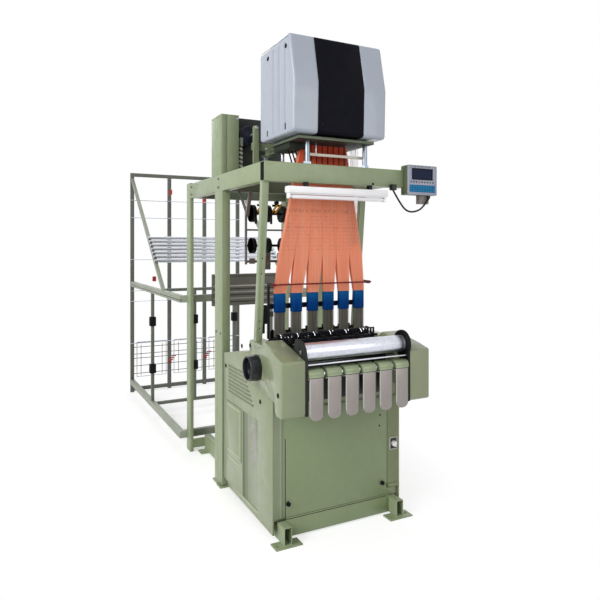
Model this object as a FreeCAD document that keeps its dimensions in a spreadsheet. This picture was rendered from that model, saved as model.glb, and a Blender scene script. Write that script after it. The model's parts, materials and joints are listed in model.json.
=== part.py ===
import FreeCAD, Part
import math
import os
import Sketcher
from FreeCAD import Placement, Rotation, Vector

# Narrow fabric power loom with a patterning head on a gantry and a creel behind it.
# Frame: X to the right along the front of the loom, Y to the back, Z up.
# The origin lies on the floor at the centre of the four outer foot holes.

os.makedirs("parts", exist_ok=True)
doc = FreeCAD.newDocument("PowerLoom")
sheet = doc.addObject("Spreadsheet::Sheet", "Sizes")

SIZES = {
    # foot rails and plates
    "rail_inset": 50,
    "rail_width": 50,
    "rail_height": 100,
    "rail_wall": 4,
    "rail_half_length": 500,
    "foot_plate_thick": 8,
    "foot_plate_width": 170,
    "foot_plate_length": 85,
    "foot_plate_over": 20,
    "foot_hole_radius": 7,
    "foot_hole_offset": 58,
    "foot_hole_inset": 42,
    # loom body
    "housing_half": 445,
    "housing_front": 400,
    "housing_rear": 428,
    "work_height": 1140,
    "deck_drop": 45,
    "deck_edge": -230,
    "shoulder_drop": 39,
    "rear_drop": 84,
    "cover_thick": 10,
    "cover_foot": 36,
    "cover_corner": 14,
    "louvre_count": 8,
    "louvre_pitch": 25,
    "louvre_height": 9,
    "louvre_depth": 5,
    "louvre_drop": 256,
    "louvre_inset": 94,
    "louvre_long": 459,
    "louvre_short": 294,
    "door_inset": 63,
    "door_long": 279,
    "door_drop": 324,
    "door_tall": 348,
    "door_raise": 4,
    "recess_gap": 20,
    "recess_long": 252,
    "recess_foot": 54,
    "recess_tall": 560,
    "recess_depth": 4,
    # arms
    "arm_width": 85,
    "arm_flare": 53,
    "arm_front": 650,
    "arm_straight": 90,
    "arm_under_step": 4,
    "arm_under_rise": 40,
    "arm_under_run": 30,
    "arm_peak_run": 44,
    "arm_shoulder_run": 25,
    "arm_shoulder_drop": 9,
    "notch_corner_run": 10,
    "notch_corner_drop": 14,
    "notch_lean": 8,
    "notch_foot_run": 30,
    "notch_foot_rise": 22,
    "cover_rear_rise": 52,
    "arm_tall": 310,
    "arm_front_drop": 47,
    "arm_peak_rise": 28,
    "arm_peak_y": -350,
    "arm_hump_drop": 4,
    "arm_rear": -50,
    "arm_step": 75,
    "arm_notch": 105,
    "arm_round": 16,
    # front panels
    "panel_thick": 12,
    "panel_gap": 23,
    "seam_height": 122,
    "seam_gap": 3,
    "plinth_foot": 8,
    "strip_width": 85,
    "strip_lip_radius": 14,
    "strip_lip_height": 178,
    "latch_radius": 13,
    "latch_reach": 14,
    "latch_slot": 4,
    "latch_left_inset": 90,
    "latch_right_inset": 42,
    "latch_height": 205,
    "switch_inset": 40,
    "switch_height": 448,
    "switch_plate_width": 58,
    "switch_plate_height": 78,
    "switch_plate_thick": 6,
    "switch_radius": 17,
    "switch_reach": 16,
    "switch_grip": 10,
    # hand wheel and main shaft
    "knob_y": -247,
    "knob_drop": 147,
    "knob_radius": 81,
    "knob_end_radius": 74,
    "knob_length": 66,
    "knob_wall": 9,
    "knob_depth": 34,
    "knob_shaft_radius": 15,
    "knob_shaft_length": 600,
    "running_gap": 0.05,
    # take-off
    "roller_inset": 70,
    "roller_drop": 12,
    "roller_radius": 51.5,
    "journal_radius": 12,
    "bracket_thick": 16,
    "bracket_gap": 1,
    "bracket_round_radius": 82,
    "bracket_strip": 90,
    "guide_radius": 5,
    "guide_inset": 18,
    "guide_drop": 65,
    "chute_count": 6,
    "chute_pitch": 118,
    "chute_width": 88,
    "chute_thick": 3,
    "chute_tall": 251,
    "chute_round": 36,
    "chute_flange": 5,
    "block_width": 96,
    "block_radius": 31,
    "block_drop": 120,
    "block_inset": 22,
    "pivot_radius": 9,
    "collar_radius": 15,
    "collar_width": 10,
    # weaving zone
    "bed_gap": 17,
    "bed_inset": 154,
    "bed_rear": -96,
    "bed_lip": 12,
    "bed_apron": 46,
    "bed_slot_width": 76,
    "bed_slot_depth": 12,
    "bed_trough": 40,
    "bed_trough_half": 44,
    "sley_pivot_y": -300,
    "sley_pivot_drop": 20,
    "sley_pivot_radius": 8,
    "sley_bar": 26,
    "reed_width": 76,
    "reed_height": 62,
    "reed_thick": 8,
    "reed_dents": 3,
    "reed_band": 8,
    "needle_bar_y": -395,
    "needle_bar_rise": 23,
    "needle_bar": 12,
    "needle_reach": 52,
    "needle_wire": 3,
    "needle_inset": 50,
    # shedding zone
    "harness_y": -165,
    "harness_gap": 3,
    "harness_top_half": 168,
    "harness_split_rise": 238,
    "harness_split_half": 318,
    "harness_depth": 60,
    "harness_foot_depth": 44,
    "sleeve_rise": 170,
    "sleeve_tall": 120,
    "sleeve_width": 74,
    "sleeve_depth": 44,
    "sleeve_corner": 7,
    "heddle_gap": 10,
    "heddle_width": 72,
    "heddle_depth": 34,
    "tongue_top_width": 100,
    "tie_radius": 5,
    "tie_rise": 57,
    "tie_y": -205,
    "tie_over": 12,
    "comb_rise": 35,
    "comb_bar_tall": 32,
    "comb_bar_deep": 14,
    "comb_y": -128,
    # gantry
    "gantry_over": 15,
    "beam_thick": 60,
    "beam_height": 120,
    "beam_bottom": 2126,
    "beam_front": 300,
    "beam_overhang": 113,
    "beam_rear": 1250,
    "tube_wall": 4,
    "column_front": 452,
    "column_depth": 160,
    "column_plate": 10,
    "column_plate_over": 14,
    "rear_post_thick": 30,
    "rear_post_depth": 100,
    "rear_post_over": 10,
    "cross_middle_y": 470,
    "cross_rear_inset": 60,
    "foot_beam_inset": 175,
    "foot_beam_width": 50,
    "foot_beam_low": 10,
    "foot_beam_height": 120,
    "foot_pad_length": 100,
    "link_thick": 10,
    "link_low": 34,
    "link_height": 76,
    "bolt_radius": 8,
    "bolt_head": 6,
    "stay_width": 43,
    "stay_depth": 36,
    "stay_top_y": -276,
    "stay_foot_y": -135,
    "stay_right_top_y": -14,
    "stay_right_foot_y": 140,
    "stay_hole_radius": 5,
    "stay_hole_step": 47,
    "stay_hole_foot": 79,
    "stay_hole_upper": 424,
    # patterning head
    "head_x": 20,
    "head_half": 335,
    "head_tall": 590,
    "head_slope": 20,
    "head_front": 400,
    "head_lean": 55,
    "head_crease": 10,
    "head_crease_rise": 310,
    "head_rear": 90,
    "head_panel_half": 165,
    "head_round": 22,
    "head_gap": 2,
    "flute_depth": 8,
    "flute_pitch": 88,
    "flute_first": 115,
    "flute_end": 26,
    "base_thick": 20,
    "base_rise": 144,
    "base_half": 276,
    "base_front": -355,
    "base_rear": 50,
    "riser_tall": 10,
    "riser_inset": 40,
    "leg_radius": 16,
    "leg_nut_radius": 27,
    "leg_nut_height": 16,
    "leg_left": -150,
    "leg_right": 280,
    "leg_front": -270,
    "head_rail_left": -100,
    "head_rail_right": 170,
    "head_rail_width": 40,
    # lift drive
    "cabinet_width": 135,
    "cabinet_depth": 220,
    "cabinet_tall": 436,
    "cabinet_door": 92,
    "cabinet_seam": 4,
    "screen_width": 445,
    "screen_inset": 38,
    "screen_over": 22,
    "screen_thick": 8,
    "motor_gap": 93,
    "motor_rise": 299,
    "motor_radius": 72,
    "motor_length": 150,
    "motor_nose": 24,
    "lever_gap": 116,
    "lever_width": 42,
    "lever_thick": 20,
    "lever_inset": 30,
    "lever_tall": 366,
    "lever_foot": 4,
    "lever_pivot_rise": 54,
    "lever_boss": 20,
    "arm_beam_rise": 44,
    "arm_beam_tall": 54,
    "arm_beam_thick": 24,
    "arm_beam_right_inset": 60,
    "conduit_gap": 27,
    "conduit_tall": 220,
    "conduit_outer": 15,
    "conduit_root": 11.5,
    "conduit_bore": 8.5,
    "conduit_ribs": 5,
    "conduit_sides": 12,
    "terminal_half": 13,
    "terminal_depth": 38,
    "terminal_tall": 59,
    # control box
    "box_gap": 0,
    "box_width": 250,
    "box_deep": 75,
    "box_lap": 26,
    "box_drop": 48,
    "box_tall": 202,
    "box_round": 8,
    "display_wide": 178,
    "display_drop": 21,
    "display_tall": 78,
    "display_deep": 2,
    "plug_width": 78,
    "plug_drop": 58,
    "plug_depth": 40,
    "plug_inset": 24,
    "gland_inset": 59,
    "gland_front": 14,
    "gland_tall": 14,
    "cable_radius": 6,
    "clip_width": 34,
    # lamp
    "lamp_inset": 70,
    "lamp_shift": 20,
    "lamp_y": -330,
    "lamp_drop": 74,
    "lamp_tall": 46,
    "lamp_wide": 56,
    "lamp_slope": 8,
    "lamp_socket": 26,
    "lamp_tube_radius": 13,
    "lamp_tube_drop": 20,
    # creel
    "creel_left": -500,
    "creel_right": 822,
    "creel_post": 40,
    "creel_rear": 3500,
    "creel_top": 2580,
    "creel_floor_gap": 16,
    "creel_front": 1350,
    "creel_rail_tall": 60,
    "creel_rail_low": 92,
    "creel_rail_high": 1245,
    "creel_middle": 2450,
    "creel_middle_post": 30,
    "creel_brace": 32,
    "creel_brace_y": 2002,
    "creel_brace_drop": 60,
    "creel_tube_radius": 17,
    "creel_tube_count": 7,
    "creel_tube_y": 2278,
    "creel_tube_pitch": 47.5,
    "creel_tube_rise": 26,
    "creel_rod_radius": 6,
    "creel_rod_1": 2260,
    "creel_rod_2": 2055,
    "creel_rod_3": 1561,
    "creel_rod_4": 1194,
    "creel_rod_5": 1071,
    "creel_rod_6": 576,
    "clamp_low": 480,
    "clamp_high": 959,
    "clamp_tall": 56,
    "clamp_over": 5,
    "rack_wire": 8,
    "rack_low": 178,
    "rack_tall": 412,
    "rack_inset": 24,
    # drop wire rack
    "drop_left": -240,
    "drop_right": 425,
    "drop_tall": 275,
    "drop_deep": 45,
    "drop_sag": 100,
    "drop_strap": 5,
    "drop_plate": 4,
    "drop_edge": 10,
    "drop_count": 15,
    # feeders
    "feeder_inset": 120,
    "feeder_first": -270,
    "feeder_drop": 164,
    "feeder_step": 230,
    "feeder_bar_step": 114,
    "feeder_rod_rise": 112,
    "feeder_plate": 8,
    "feeder_plate_half": 14,
    "feeder_left_gap": 38,
    "feeder_right_gap": 18,
    "feeder_plate_foot": 20,
    "feeder_bar": 16,
    "feeder_guide": 32,
    "wheel_radius": 62,
    "wheel_low_radius": 56,
    "wheel_thick": 28,
    "feeder_shaft": 9,
}
for row, (name, value) in enumerate(SIZES.items(), start=1):
    sheet.set("A%d" % row, name)
    sheet.set("B%d" % row, str(value))
    sheet.setAlias("B%d" % row, name)
doc.recompute()


class Dim:
    """A length and the expression over the sheet that gives it."""

    def __init__(self, text, value):
        self.text = text
        self.value = value

    def __add__(self, other):
        other = dim(other)
        return Dim("(%s + %s)" % (self.text, other.text), self.value + other.value)

    def __sub__(self, other):
        other = dim(other)
        return Dim("(%s - %s)" % (self.text, other.text), self.value - other.value)

    def __mul__(self, other):
        other = dim(other)
        return Dim("(%s * %s)" % (self.text, other.text), self.value * other.value)

    def __truediv__(self, other):
        other = dim(other)
        return Dim("(%s / %s)" % (self.text, other.text), self.value / other.value)

    def __neg__(self):
        return Dim("(0 - %s)" % self.text, -self.value)

    def __radd__(self, other):
        return dim(other) + self

    def __rsub__(self, other):
        return dim(other) - self

    def __rmul__(self, other):
        return dim(other) * self

    def __float__(self):
        return float(self.value)


def dim(value):
    if isinstance(value, Dim):
        return value
    return Dim(repr(float(value)), float(value))


class Sizes:
    """Reads the named cells of the sheet as dimensions."""

    def __getattr__(self, name):
        return Dim("Sizes." + name, float(getattr(sheet, name)))


s = Sizes()

# sizes that follow from others, across the loom
s.rail_centre = s.housing_half - s.rail_inset
s.cover_outer = s.housing_half + s.cover_thick
s.strip_inner = s.housing_half - s.strip_width
s.switch_x = s.housing_half - s.switch_inset
s.latch_left_x = -(s.housing_half - s.latch_left_inset)
s.latch_right_x = s.strip_inner - s.latch_right_inset
s.arm_inner = s.housing_half - s.arm_width
s.arm_outer = s.cover_outer + s.arm_flare
s.bracket_in = s.arm_inner - s.bracket_thick
s.roller_half = s.bracket_in - s.bracket_gap
s.bed_half = s.arm_inner - s.bed_gap
s.tie_half = s.arm_inner + s.tie_over
s.gantry_half = s.housing_half + s.gantry_over
s.beam_in = s.gantry_half - s.beam_thick
s.beam_right_end = s.gantry_half + s.beam_overhang
s.foot_beam_inner = s.gantry_half - s.foot_beam_inset
s.feeder_left = s.feeder_first - s.wheel_thick / 2 - s.feeder_left_gap
s.feeder_last = s.feeder_first + s.chute_pitch * (s.chute_count - 1)
s.feeder_right = s.feeder_last + s.wheel_thick / 2 + s.feeder_right_gap
s.lamp_half = s.gantry_half - s.lamp_inset
s.cabinet_left = -s.gantry_half
s.cabinet_right = s.cabinet_left + s.cabinet_width
s.screen_right = s.cabinet_right + s.screen_width
s.motor_x = s.cabinet_right + s.motor_gap
s.lever_x = s.cabinet_right + s.lever_gap
s.conduit_x = s.cabinet_right + s.conduit_gap
s.box_left = s.beam_right_end - s.box_gap
s.box_right = s.box_left + s.box_width
# sizes that follow from others, front to back
s.foot_plate_front = s.rail_half_length + s.foot_plate_over
s.arm_notch_y = -(s.arm_front - s.arm_notch)
s.roller_y = -(s.arm_front - s.roller_inset)
s.guide_y = -(s.arm_front - s.guide_inset)
s.block_y = -(s.arm_front - s.block_inset)
s.bed_front = -(s.arm_front - s.bed_inset)
s.louvre_rear = s.housing_rear - s.louvre_inset
s.door_rear = s.housing_rear - s.door_inset
s.door_front = s.door_rear - s.door_long
s.recess_rear = s.door_front - s.recess_gap
s.recess_front = s.recess_rear - s.recess_long
s.cross_rear_y = s.beam_rear - s.cross_rear_inset
s.lever_y = s.cross_middle_y - s.lever_inset
s.conduit_y = s.cross_middle_y + s.beam_thick / 2
s.cabinet_front = s.cross_middle_y
s.cabinet_rear = s.cabinet_front + s.cabinet_depth
s.screen_front = s.cabinet_rear - s.screen_inset
s.feeder_y = s.cross_middle_y - s.feeder_inset
s.box_rear = -s.beam_front + s.box_lap
s.box_front = s.box_rear - s.box_deep
# heights that follow from the height of the work
s.housing_deck = s.work_height - s.deck_drop
s.shoulder_height = s.housing_deck - s.shoulder_drop
s.rear_height = s.shoulder_height - s.rear_drop
s.shoulder_slope = s.rear_drop / (s.housing_rear - s.arm_rear)
s.arm_front_top = s.work_height - s.arm_front_drop
s.arm_bottom = s.arm_front_top - s.arm_tall
s.arm_peak = s.work_height + s.arm_peak_rise
s.arm_hump = s.work_height - s.arm_hump_drop
s.arm_under = s.arm_bottom + s.arm_step
s.housing_shoulder = s.arm_bottom - s.panel_gap
s.louvre_lowest = s.rear_height - s.louvre_drop
s.door_high = s.rear_height - s.door_drop
s.door_low = s.door_high - s.door_tall
s.recess_low = s.cover_foot + s.recess_foot
s.recess_high = s.recess_low + s.recess_tall
s.knob_height = s.work_height - s.knob_drop
s.roller_height = s.work_height - s.roller_drop
s.guide_height = s.roller_height - s.guide_drop
s.block_height = s.roller_height - s.block_drop
s.chute_top = s.block_height - s.chute_thick
s.chute_low = s.chute_top - s.chute_tall
s.bracket_foot = s.arm_bottom - s.bracket_gap
s.sley_pivot_height = s.work_height - s.sley_pivot_drop
s.needle_bar_height = s.work_height + s.needle_bar_rise
s.heddle_bottom = s.work_height + s.heddle_gap
s.sleeve_bottom = s.work_height + s.sleeve_rise
s.sleeve_top = s.sleeve_bottom + s.sleeve_tall
s.comb_height = s.sleeve_bottom + s.comb_rise
s.tie_height = s.sleeve_top + s.tie_rise
s.harness_split = s.sleeve_top + s.harness_split_rise
# heights that follow from the underside of the gantry
s.beam_top = s.beam_bottom + s.beam_height
s.base_low = s.beam_top + s.base_rise
s.base_top = s.base_low + s.base_thick
s.head_low = s.base_top + s.riser_tall
s.head_high = s.head_low + s.head_tall
s.head_front_top = s.head_high + s.head_slope
s.head_crease_height = s.head_low + s.head_crease_rise
s.harness_top = s.base_low - s.harness_gap
s.cabinet_top = s.beam_top + s.cabinet_tall
s.screen_top = s.cabinet_top + s.screen_over
s.motor_height = s.beam_top + s.motor_rise
s.lever_top = s.beam_top + s.lever_tall
s.lever_pivot = s.beam_top + s.lever_pivot_rise
s.arm_beam_low = s.base_low + s.arm_beam_rise
s.conduit_low = s.beam_top
s.conduit_high = s.conduit_low + s.conduit_tall
s.rear_post_top = s.beam_top + s.rear_post_over
s.box_low = s.beam_bottom - s.box_drop
s.box_high = s.box_low + s.box_tall
s.lamp_low = s.beam_bottom - s.lamp_drop
s.feeder_high = s.beam_bottom - s.feeder_drop
s.feeder_low = s.feeder_high - s.feeder_step
s.feeder_bar_height = s.feeder_low - s.feeder_bar_step
AXES = {"X": Rotation(Vector(0, 1, 0), 90), "Y": Rotation(Vector(1, 0, 0), -90), "Z": Rotation()}


def bind(obj, prop, value):
    obj.setExpression(prop, dim(value).text)


def place(obj, x, y, z, rotation=None):
    if rotation is not None:
        obj.Placement = Placement(Vector(0, 0, 0), rotation)
    bind(obj, "Placement.Base.x", x)
    bind(obj, "Placement.Base.y", y)
    bind(obj, "Placement.Base.z", z)


def box(label, x, y, z):
    """A block between the two ends given for each axis."""
    obj = doc.addObject("Part::Box", label)
    bind(obj, "Length", dim(x[1]) - x[0])
    bind(obj, "Width", dim(y[1]) - y[0])
    bind(obj, "Height", dim(z[1]) - z[0])
    place(obj, x[0], y[0], z[0])
    return obj


def along(axis, start, u, v):
    """The point on an axis line, u and v being the other two coordinates in order."""
    if axis == "X":
        return start, u, v
    if axis == "Y":
        return u, start, v
    return u, v, start


def rod(label, axis, u, v, ends, radius):
    """A round bar along an axis between two ends."""
    obj = doc.addObject("Part::Cylinder", label)
    bind(obj, "Radius", radius)
    bind(obj, "Height", dim(ends[1]) - ends[0])
    x, y, z = along(axis, ends[0], u, v)
    place(obj, x, y, z, AXES[axis])
    return obj


def many_sided(label, axis, u, v, ends, radius, sides):
    """A bar like rod with flat sides; the radius goes to its corners."""
    obj = doc.addObject("Part::Prism", label)
    obj.Polygon = sides
    bind(obj, "Circumradius", radius)
    bind(obj, "Height", dim(ends[1]) - ends[0])
    x, y, z = along(axis, ends[0], u, v)
    place(obj, x, y, z, AXES[axis])
    return obj


def cone(label, axis, u, v, ends, radius_start, radius_end):
    obj = doc.addObject("Part::Cone", label)
    bind(obj, "Radius1", radius_start)
    bind(obj, "Radius2", radius_end)
    bind(obj, "Height", dim(ends[1]) - ends[0])
    x, y, z = along(axis, ends[0], u, v)
    place(obj, x, y, z, AXES[axis])
    return obj


def cut(label, base, tools):
    tools = tools if isinstance(tools, list) else [tools]
    if len(tools) > 1:
        tool = doc.addObject("Part::MultiFuse", label + "_tools")
        tool.Shapes = tools
    else:
        tool = tools[0]
    obj = doc.addObject("Part::Cut", label)
    obj.Base = base
    obj.Tool = tool
    return obj


def fuse(label, shapes):
    obj = doc.addObject("Part::MultiFuse", label)
    obj.Shapes = shapes
    obj.Refine = True
    return obj


def group(label, shapes):
    """Several separate solids kept in one node."""
    obj = doc.addObject("Part::Compound", label)
    obj.Links = shapes
    return obj


PLANES = {"X": "YZ_Plane", "Y": "XZ_Plane", "Z": "XY_Plane"}


def sketch_on(body, name, axis, points):
    """A closed outline of straight sides whose corners are bound to the sheet."""
    sketch = body.newObject("Sketcher::SketchObject", name)
    role = PLANES[axis]
    plane = [f for f in body.Origin.OriginFeatures if f.Role == role][0]
    sketch.AttachmentSupport = [(plane, "")]
    sketch.MapMode = "FlatFace"
    points = [(dim(u), dim(v)) for u, v in points]
    count = len(points)
    for i in range(count):
        u0, v0 = points[i]
        u1, v1 = points[(i + 1) % count]
        start = Vector(u0.value, v0.value, 0)
        end = Vector(u1.value, v1.value, 0)
        sketch.addGeometry(Part.LineSegment(start, end), False)
    for i in range(count):
        sketch.addConstraint(Sketcher.Constraint("Coincident", i, 2, (i + 1) % count, 1))
    for i in range(count):
        for kind, value, direction in (("U", points[i][0], "DistanceX"), ("V", points[i][1], "DistanceY")):
            index = sketch.addConstraint(Sketcher.Constraint(direction, -1, 1, i, 1, value.value))
            sketch.renameConstraint(index, "%s%d" % (kind, i))
            sketch.setExpression("Constraints.%s%d" % (kind, i), value.text)
    return sketch


def prism(label, axis, points, ends, rounds=None, radius=None):
    """An outline padded along an axis; corners named in rounds get a fillet."""
    body = doc.addObject("PartDesign::Body", label)
    sketch = sketch_on(body, label + "_outline", axis, points)
    pad = body.newObject("PartDesign::Pad", label + "_pad")
    pad.Profile = sketch
    bind(pad, "Length", dim(ends[1]) - ends[0])
    pad.Reversed = axis == "Y"
    if axis == "X":
        bind(body, "Placement.Base.x", ends[0])
    elif axis == "Y":
        bind(body, "Placement.Base.y", ends[0])
    else:
        bind(body, "Placement.Base.z", ends[0])
    doc.recompute()
    if rounds:
        body_fillet(body, pad, label, axis, [points[i] for i in rounds], radius)
    return body


def body_fillet(body, feature, label, axis, corners, radius):
    """Rounds the padded corner edges that stand on the given outline points."""
    names = []
    for number, edge in enumerate(feature.Shape.Edges, start=1):
        ends = [vertex.Point for vertex in edge.Vertexes]
        if len(ends) != 2:
            continue
        for u, v in corners:
            u, v = float(u), float(v)
            if axis == "X":
                near = all(abs(p.y - u) < 0.01 and abs(p.z - v) < 0.01 for p in ends)
            elif axis == "Y":
                near = all(abs(p.x - u) < 0.01 and abs(p.z - v) < 0.01 for p in ends)
            else:
                near = all(abs(p.x - u) < 0.01 and abs(p.y - v) < 0.01 for p in ends)
            if near:
                names.append("Edge%d" % number)
    fillet = body.newObject("PartDesign::Fillet", label + "_rounds")
    fillet.Base = (feature, names)
    bind(fillet, "Radius", radius)
    doc.recompute()
    return fillet


def tube_x(label, x, y, z, wall):
    """A rectangular hollow section that runs along X."""
    outer = box(label + "_outer", x, y, z)
    bore = box(label + "_bore", (x[0] - 1, x[1] + 1), (y[0] + wall, y[1] - wall), (z[0] + wall, z[1] - wall))
    return cut(label, outer, bore)


def tube_y(label, x, y, z, wall):
    outer = box(label + "_outer", x, y, z)
    bore = box(label + "_bore", (x[0] + wall, x[1] - wall), (y[0] - 1, y[1] + 1), (z[0] + wall, z[1] - wall))
    return cut(label, outer, bore)


def tube_z(label, x, y, z, wall):
    outer = box(label + "_outer", x, y, z)
    bore = box(label + "_bore", (x[0] + wall, x[1] - wall), (y[0] + wall, y[1] - wall), (z[0] - 1, z[1] + 1))
    return cut(label, outer, bore)


NODES = []


def node(obj):
    NODES.append(obj)
    return obj


# ---------------------------------------------------------------- foot rails
plate_top = s.foot_plate_thick
rail_top = plate_top + s.rail_height
rail_in = s.rail_centre - s.rail_width / 2
rail_out = s.rail_centre + s.rail_width / 2


def foot_rail(label, side):
    x_low = side * s.rail_centre - s.rail_width / 2
    rail = tube_y(
        label + "_tube",
        (x_low, x_low + s.rail_width),
        (-s.rail_half_length, s.rail_half_length),
        (plate_top, rail_top),
        s.rail_wall,
    )
    pieces = [rail]
    for end, sign in (("front", -1), ("rear", 1)):
        y_out = sign * s.foot_plate_front
        y_in = sign * (s.foot_plate_front - s.foot_plate_length)
        y = (y_out, y_in) if sign < 0 else (y_in, y_out)
        centre = side * s.rail_centre
        plate = box(
            "%s_%s_plate" % (label, end),
            (centre - s.foot_plate_width / 2, centre + s.foot_plate_width / 2),
            y,
            (dim(0), plate_top),
        )
        holes = []
        for k in (-1, 1):
            holes.append(
                rod(
                    "%s_%s_hole_%d" % (label, end, k + 1),
                    "Z",
                    centre + k * s.foot_hole_offset,
                    sign * (s.foot_plate_front - s.foot_hole_inset),
                    (dim(-1), plate_top + 1),
                    s.foot_hole_radius,
                )
            )
        pieces.append(cut("%s_%s_foot" % (label, end), plate, holes))
    return node(fuse(label, pieces))


foot_rail("foot_rail_left", -1)
foot_rail("foot_rail_right", 1)

# ---------------------------------------------------------------- arms and body
arm_profile = [
    (-s.arm_front, s.arm_bottom),
    (-s.arm_front, s.arm_front_top),
    (s.arm_peak_y, s.arm_peak),
    (s.arm_peak_y + s.arm_peak_run, s.arm_hump),
    (s.arm_rear - s.arm_shoulder_run, s.arm_hump),
    (s.arm_rear, s.arm_hump - s.arm_shoulder_drop),
    (s.arm_rear, s.arm_under + s.arm_under_rise),
    (s.arm_rear - s.arm_under_run, s.arm_under),
    (s.arm_notch_y + s.notch_corner_run, s.arm_under - s.arm_under_step),
    (s.arm_notch_y, s.arm_under - s.notch_corner_drop),
    (s.arm_notch_y - s.notch_lean, s.arm_bottom + s.notch_foot_rise),
    (s.arm_notch_y - s.notch_foot_run, s.arm_bottom),
]

housing_profile = [
    (-s.housing_front, rail_top),
    (-s.housing_front, s.housing_deck),
    (s.deck_edge, s.housing_deck),
    (s.arm_rear, s.shoulder_height),
    (s.housing_rear, s.rear_height),
    (s.housing_rear, rail_top),
]
housing_block = prism("housing_block", "X", housing_profile, (-s.housing_half, s.housing_half))
arm_space_left = prism("arm_space_left", "X", arm_profile, (-s.arm_outer, -s.arm_inner))
arm_space_right = prism("arm_space_right", "X", arm_profile, (s.arm_inner, s.arm_outer))
knob_bore = many_sided(
    "knob_bore",
    "X",
    s.knob_y,
    s.knob_height,
    (-s.arm_outer, -s.arm_inner + s.knob_shaft_length),
    (s.knob_shaft_radius + s.running_gap) / math.cos(math.pi / 16),
    16,
)
node(cut("base_housing", housing_block, [arm_space_left, arm_space_right, knob_bore]))

cover_profile = [
    (-(s.housing_front + s.panel_thick), s.cover_foot),
    (-(s.housing_front + s.panel_thick), s.arm_under - s.arm_under_step),
    (s.arm_rear - s.arm_under_run, s.arm_under),
    (s.arm_rear, s.arm_under + s.arm_under_rise),
    (s.arm_rear, s.shoulder_height),
    (s.housing_rear, s.rear_height),
    (s.housing_rear, s.cover_foot + s.cover_rear_rise),
    (s.housing_rear / 2, s.cover_foot + s.cover_corner),
]


def side_cover(label, side):
    near = (-s.cover_outer, -s.housing_half) if side < 0 else (s.housing_half, s.cover_outer)
    plate = prism(label + "_plate", "X", cover_profile, near, [5, 6], s.cover_corner)
    door_x = (s.cover_outer, s.cover_outer + s.door_raise)
    if side < 0:
        door_x = (-(s.cover_outer + s.door_raise), -s.cover_outer)
    door = prism(
        label + "_door",
        "X",
        [
            (s.door_front, s.door_low),
            (s.door_front, s.door_high),
            (s.door_rear, s.door_high),
            (s.door_rear, s.door_low),
        ],
        door_x,
        [0, 1, 2, 3],
        s.cover_corner,
    )
    whole = fuse(label + "_blank", [plate, door])
    tools = []
    step = (s.louvre_long - s.louvre_short) / (s.louvre_count - 1)
    louvre_x = (-s.cover_outer, -s.cover_outer + s.louvre_depth)
    recess_x = (-s.cover_outer, -s.cover_outer + s.recess_depth)
    if side > 0:
        louvre_x = (s.cover_outer - s.louvre_depth, s.cover_outer)
        recess_x = (s.cover_outer - s.recess_depth, s.cover_outer)
    for i in range(int(float(s.louvre_count))):
        low = s.louvre_lowest + i * s.louvre_pitch
        tools.append(
            box(
                "%s_louvre_%d" % (label, i + 1),
                louvre_x,
                (s.louvre_rear - s.louvre_long + i * step, s.louvre_rear),
                (low, low + s.louvre_height),
            )
        )
    recess = prism(
        label + "_recess",
        "X",
        [
            (s.recess_front, s.recess_low),
            (s.recess_front, s.recess_high),
            (s.recess_rear, s.recess_high),
            (s.recess_rear, s.recess_low),
        ],
        recess_x,
    )
    tools.append(recess)
    return node(cut(label, whole, tools))


side_cover("side_cover_left", -1)
side_cover("side_cover_right", 1)


def arm_cover(label, side):
    ends = (-s.arm_outer, -s.arm_inner) if side < 0 else (s.arm_inner, s.arm_outer)
    blank = prism(label + "_blank", "X", arm_profile, ends, [0, 1], s.arm_round)
    # the outer face narrows from the front of the arm back to the side cover
    wedge = prism(
        label + "_wedge",
        "Z",
        [
            (side * (s.arm_outer + 1), -(s.arm_front - s.arm_straight)),
            (side * (s.arm_outer + 1), s.arm_rear + 1),
            (side * s.cover_outer, s.arm_rear + 1),
            (side * s.cover_outer, s.arm_rear),
            (side * s.arm_outer, -(s.arm_front - s.arm_straight)),
        ],
        (s.arm_bottom - 10, s.arm_peak + 10),
    )
    tools = [wedge]
    if side < 0:
        tools.append(
            many_sided(
                label + "_bore",
                "X",
                s.knob_y,
                s.knob_height,
                (-s.arm_outer - 1, -s.arm_inner + 1),
                (s.knob_shaft_radius + s.running_gap) / math.cos(math.pi / 16),
                16,
            )
        )
    return node(cut(label, blank, tools))


arm_cover("arm_cover_left", -1)
arm_cover("arm_cover_right", 1)

# ---------------------------------------------------------------- front panels
panel_back = -s.housing_front
panel_face = panel_back - s.panel_thick
front_panel = prism(
    "front_sheet",
    "Y",
    [
        (-(s.housing_half), s.seam_height + s.seam_gap),
        (-(s.housing_half), s.housing_shoulder),
        (s.strip_inner - s.seam_gap, s.housing_shoulder),
        (s.strip_inner - s.seam_gap, s.seam_height + s.seam_gap),
    ],
    (panel_face, panel_back),
)
plinth = box(
    "plinth_sheet",
    (-(rail_in - 1), rail_in - 1),
    (panel_face, panel_back),
    (s.plinth_foot, s.seam_height),
)
node(group("front_panel", [front_panel, plinth]))

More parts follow.
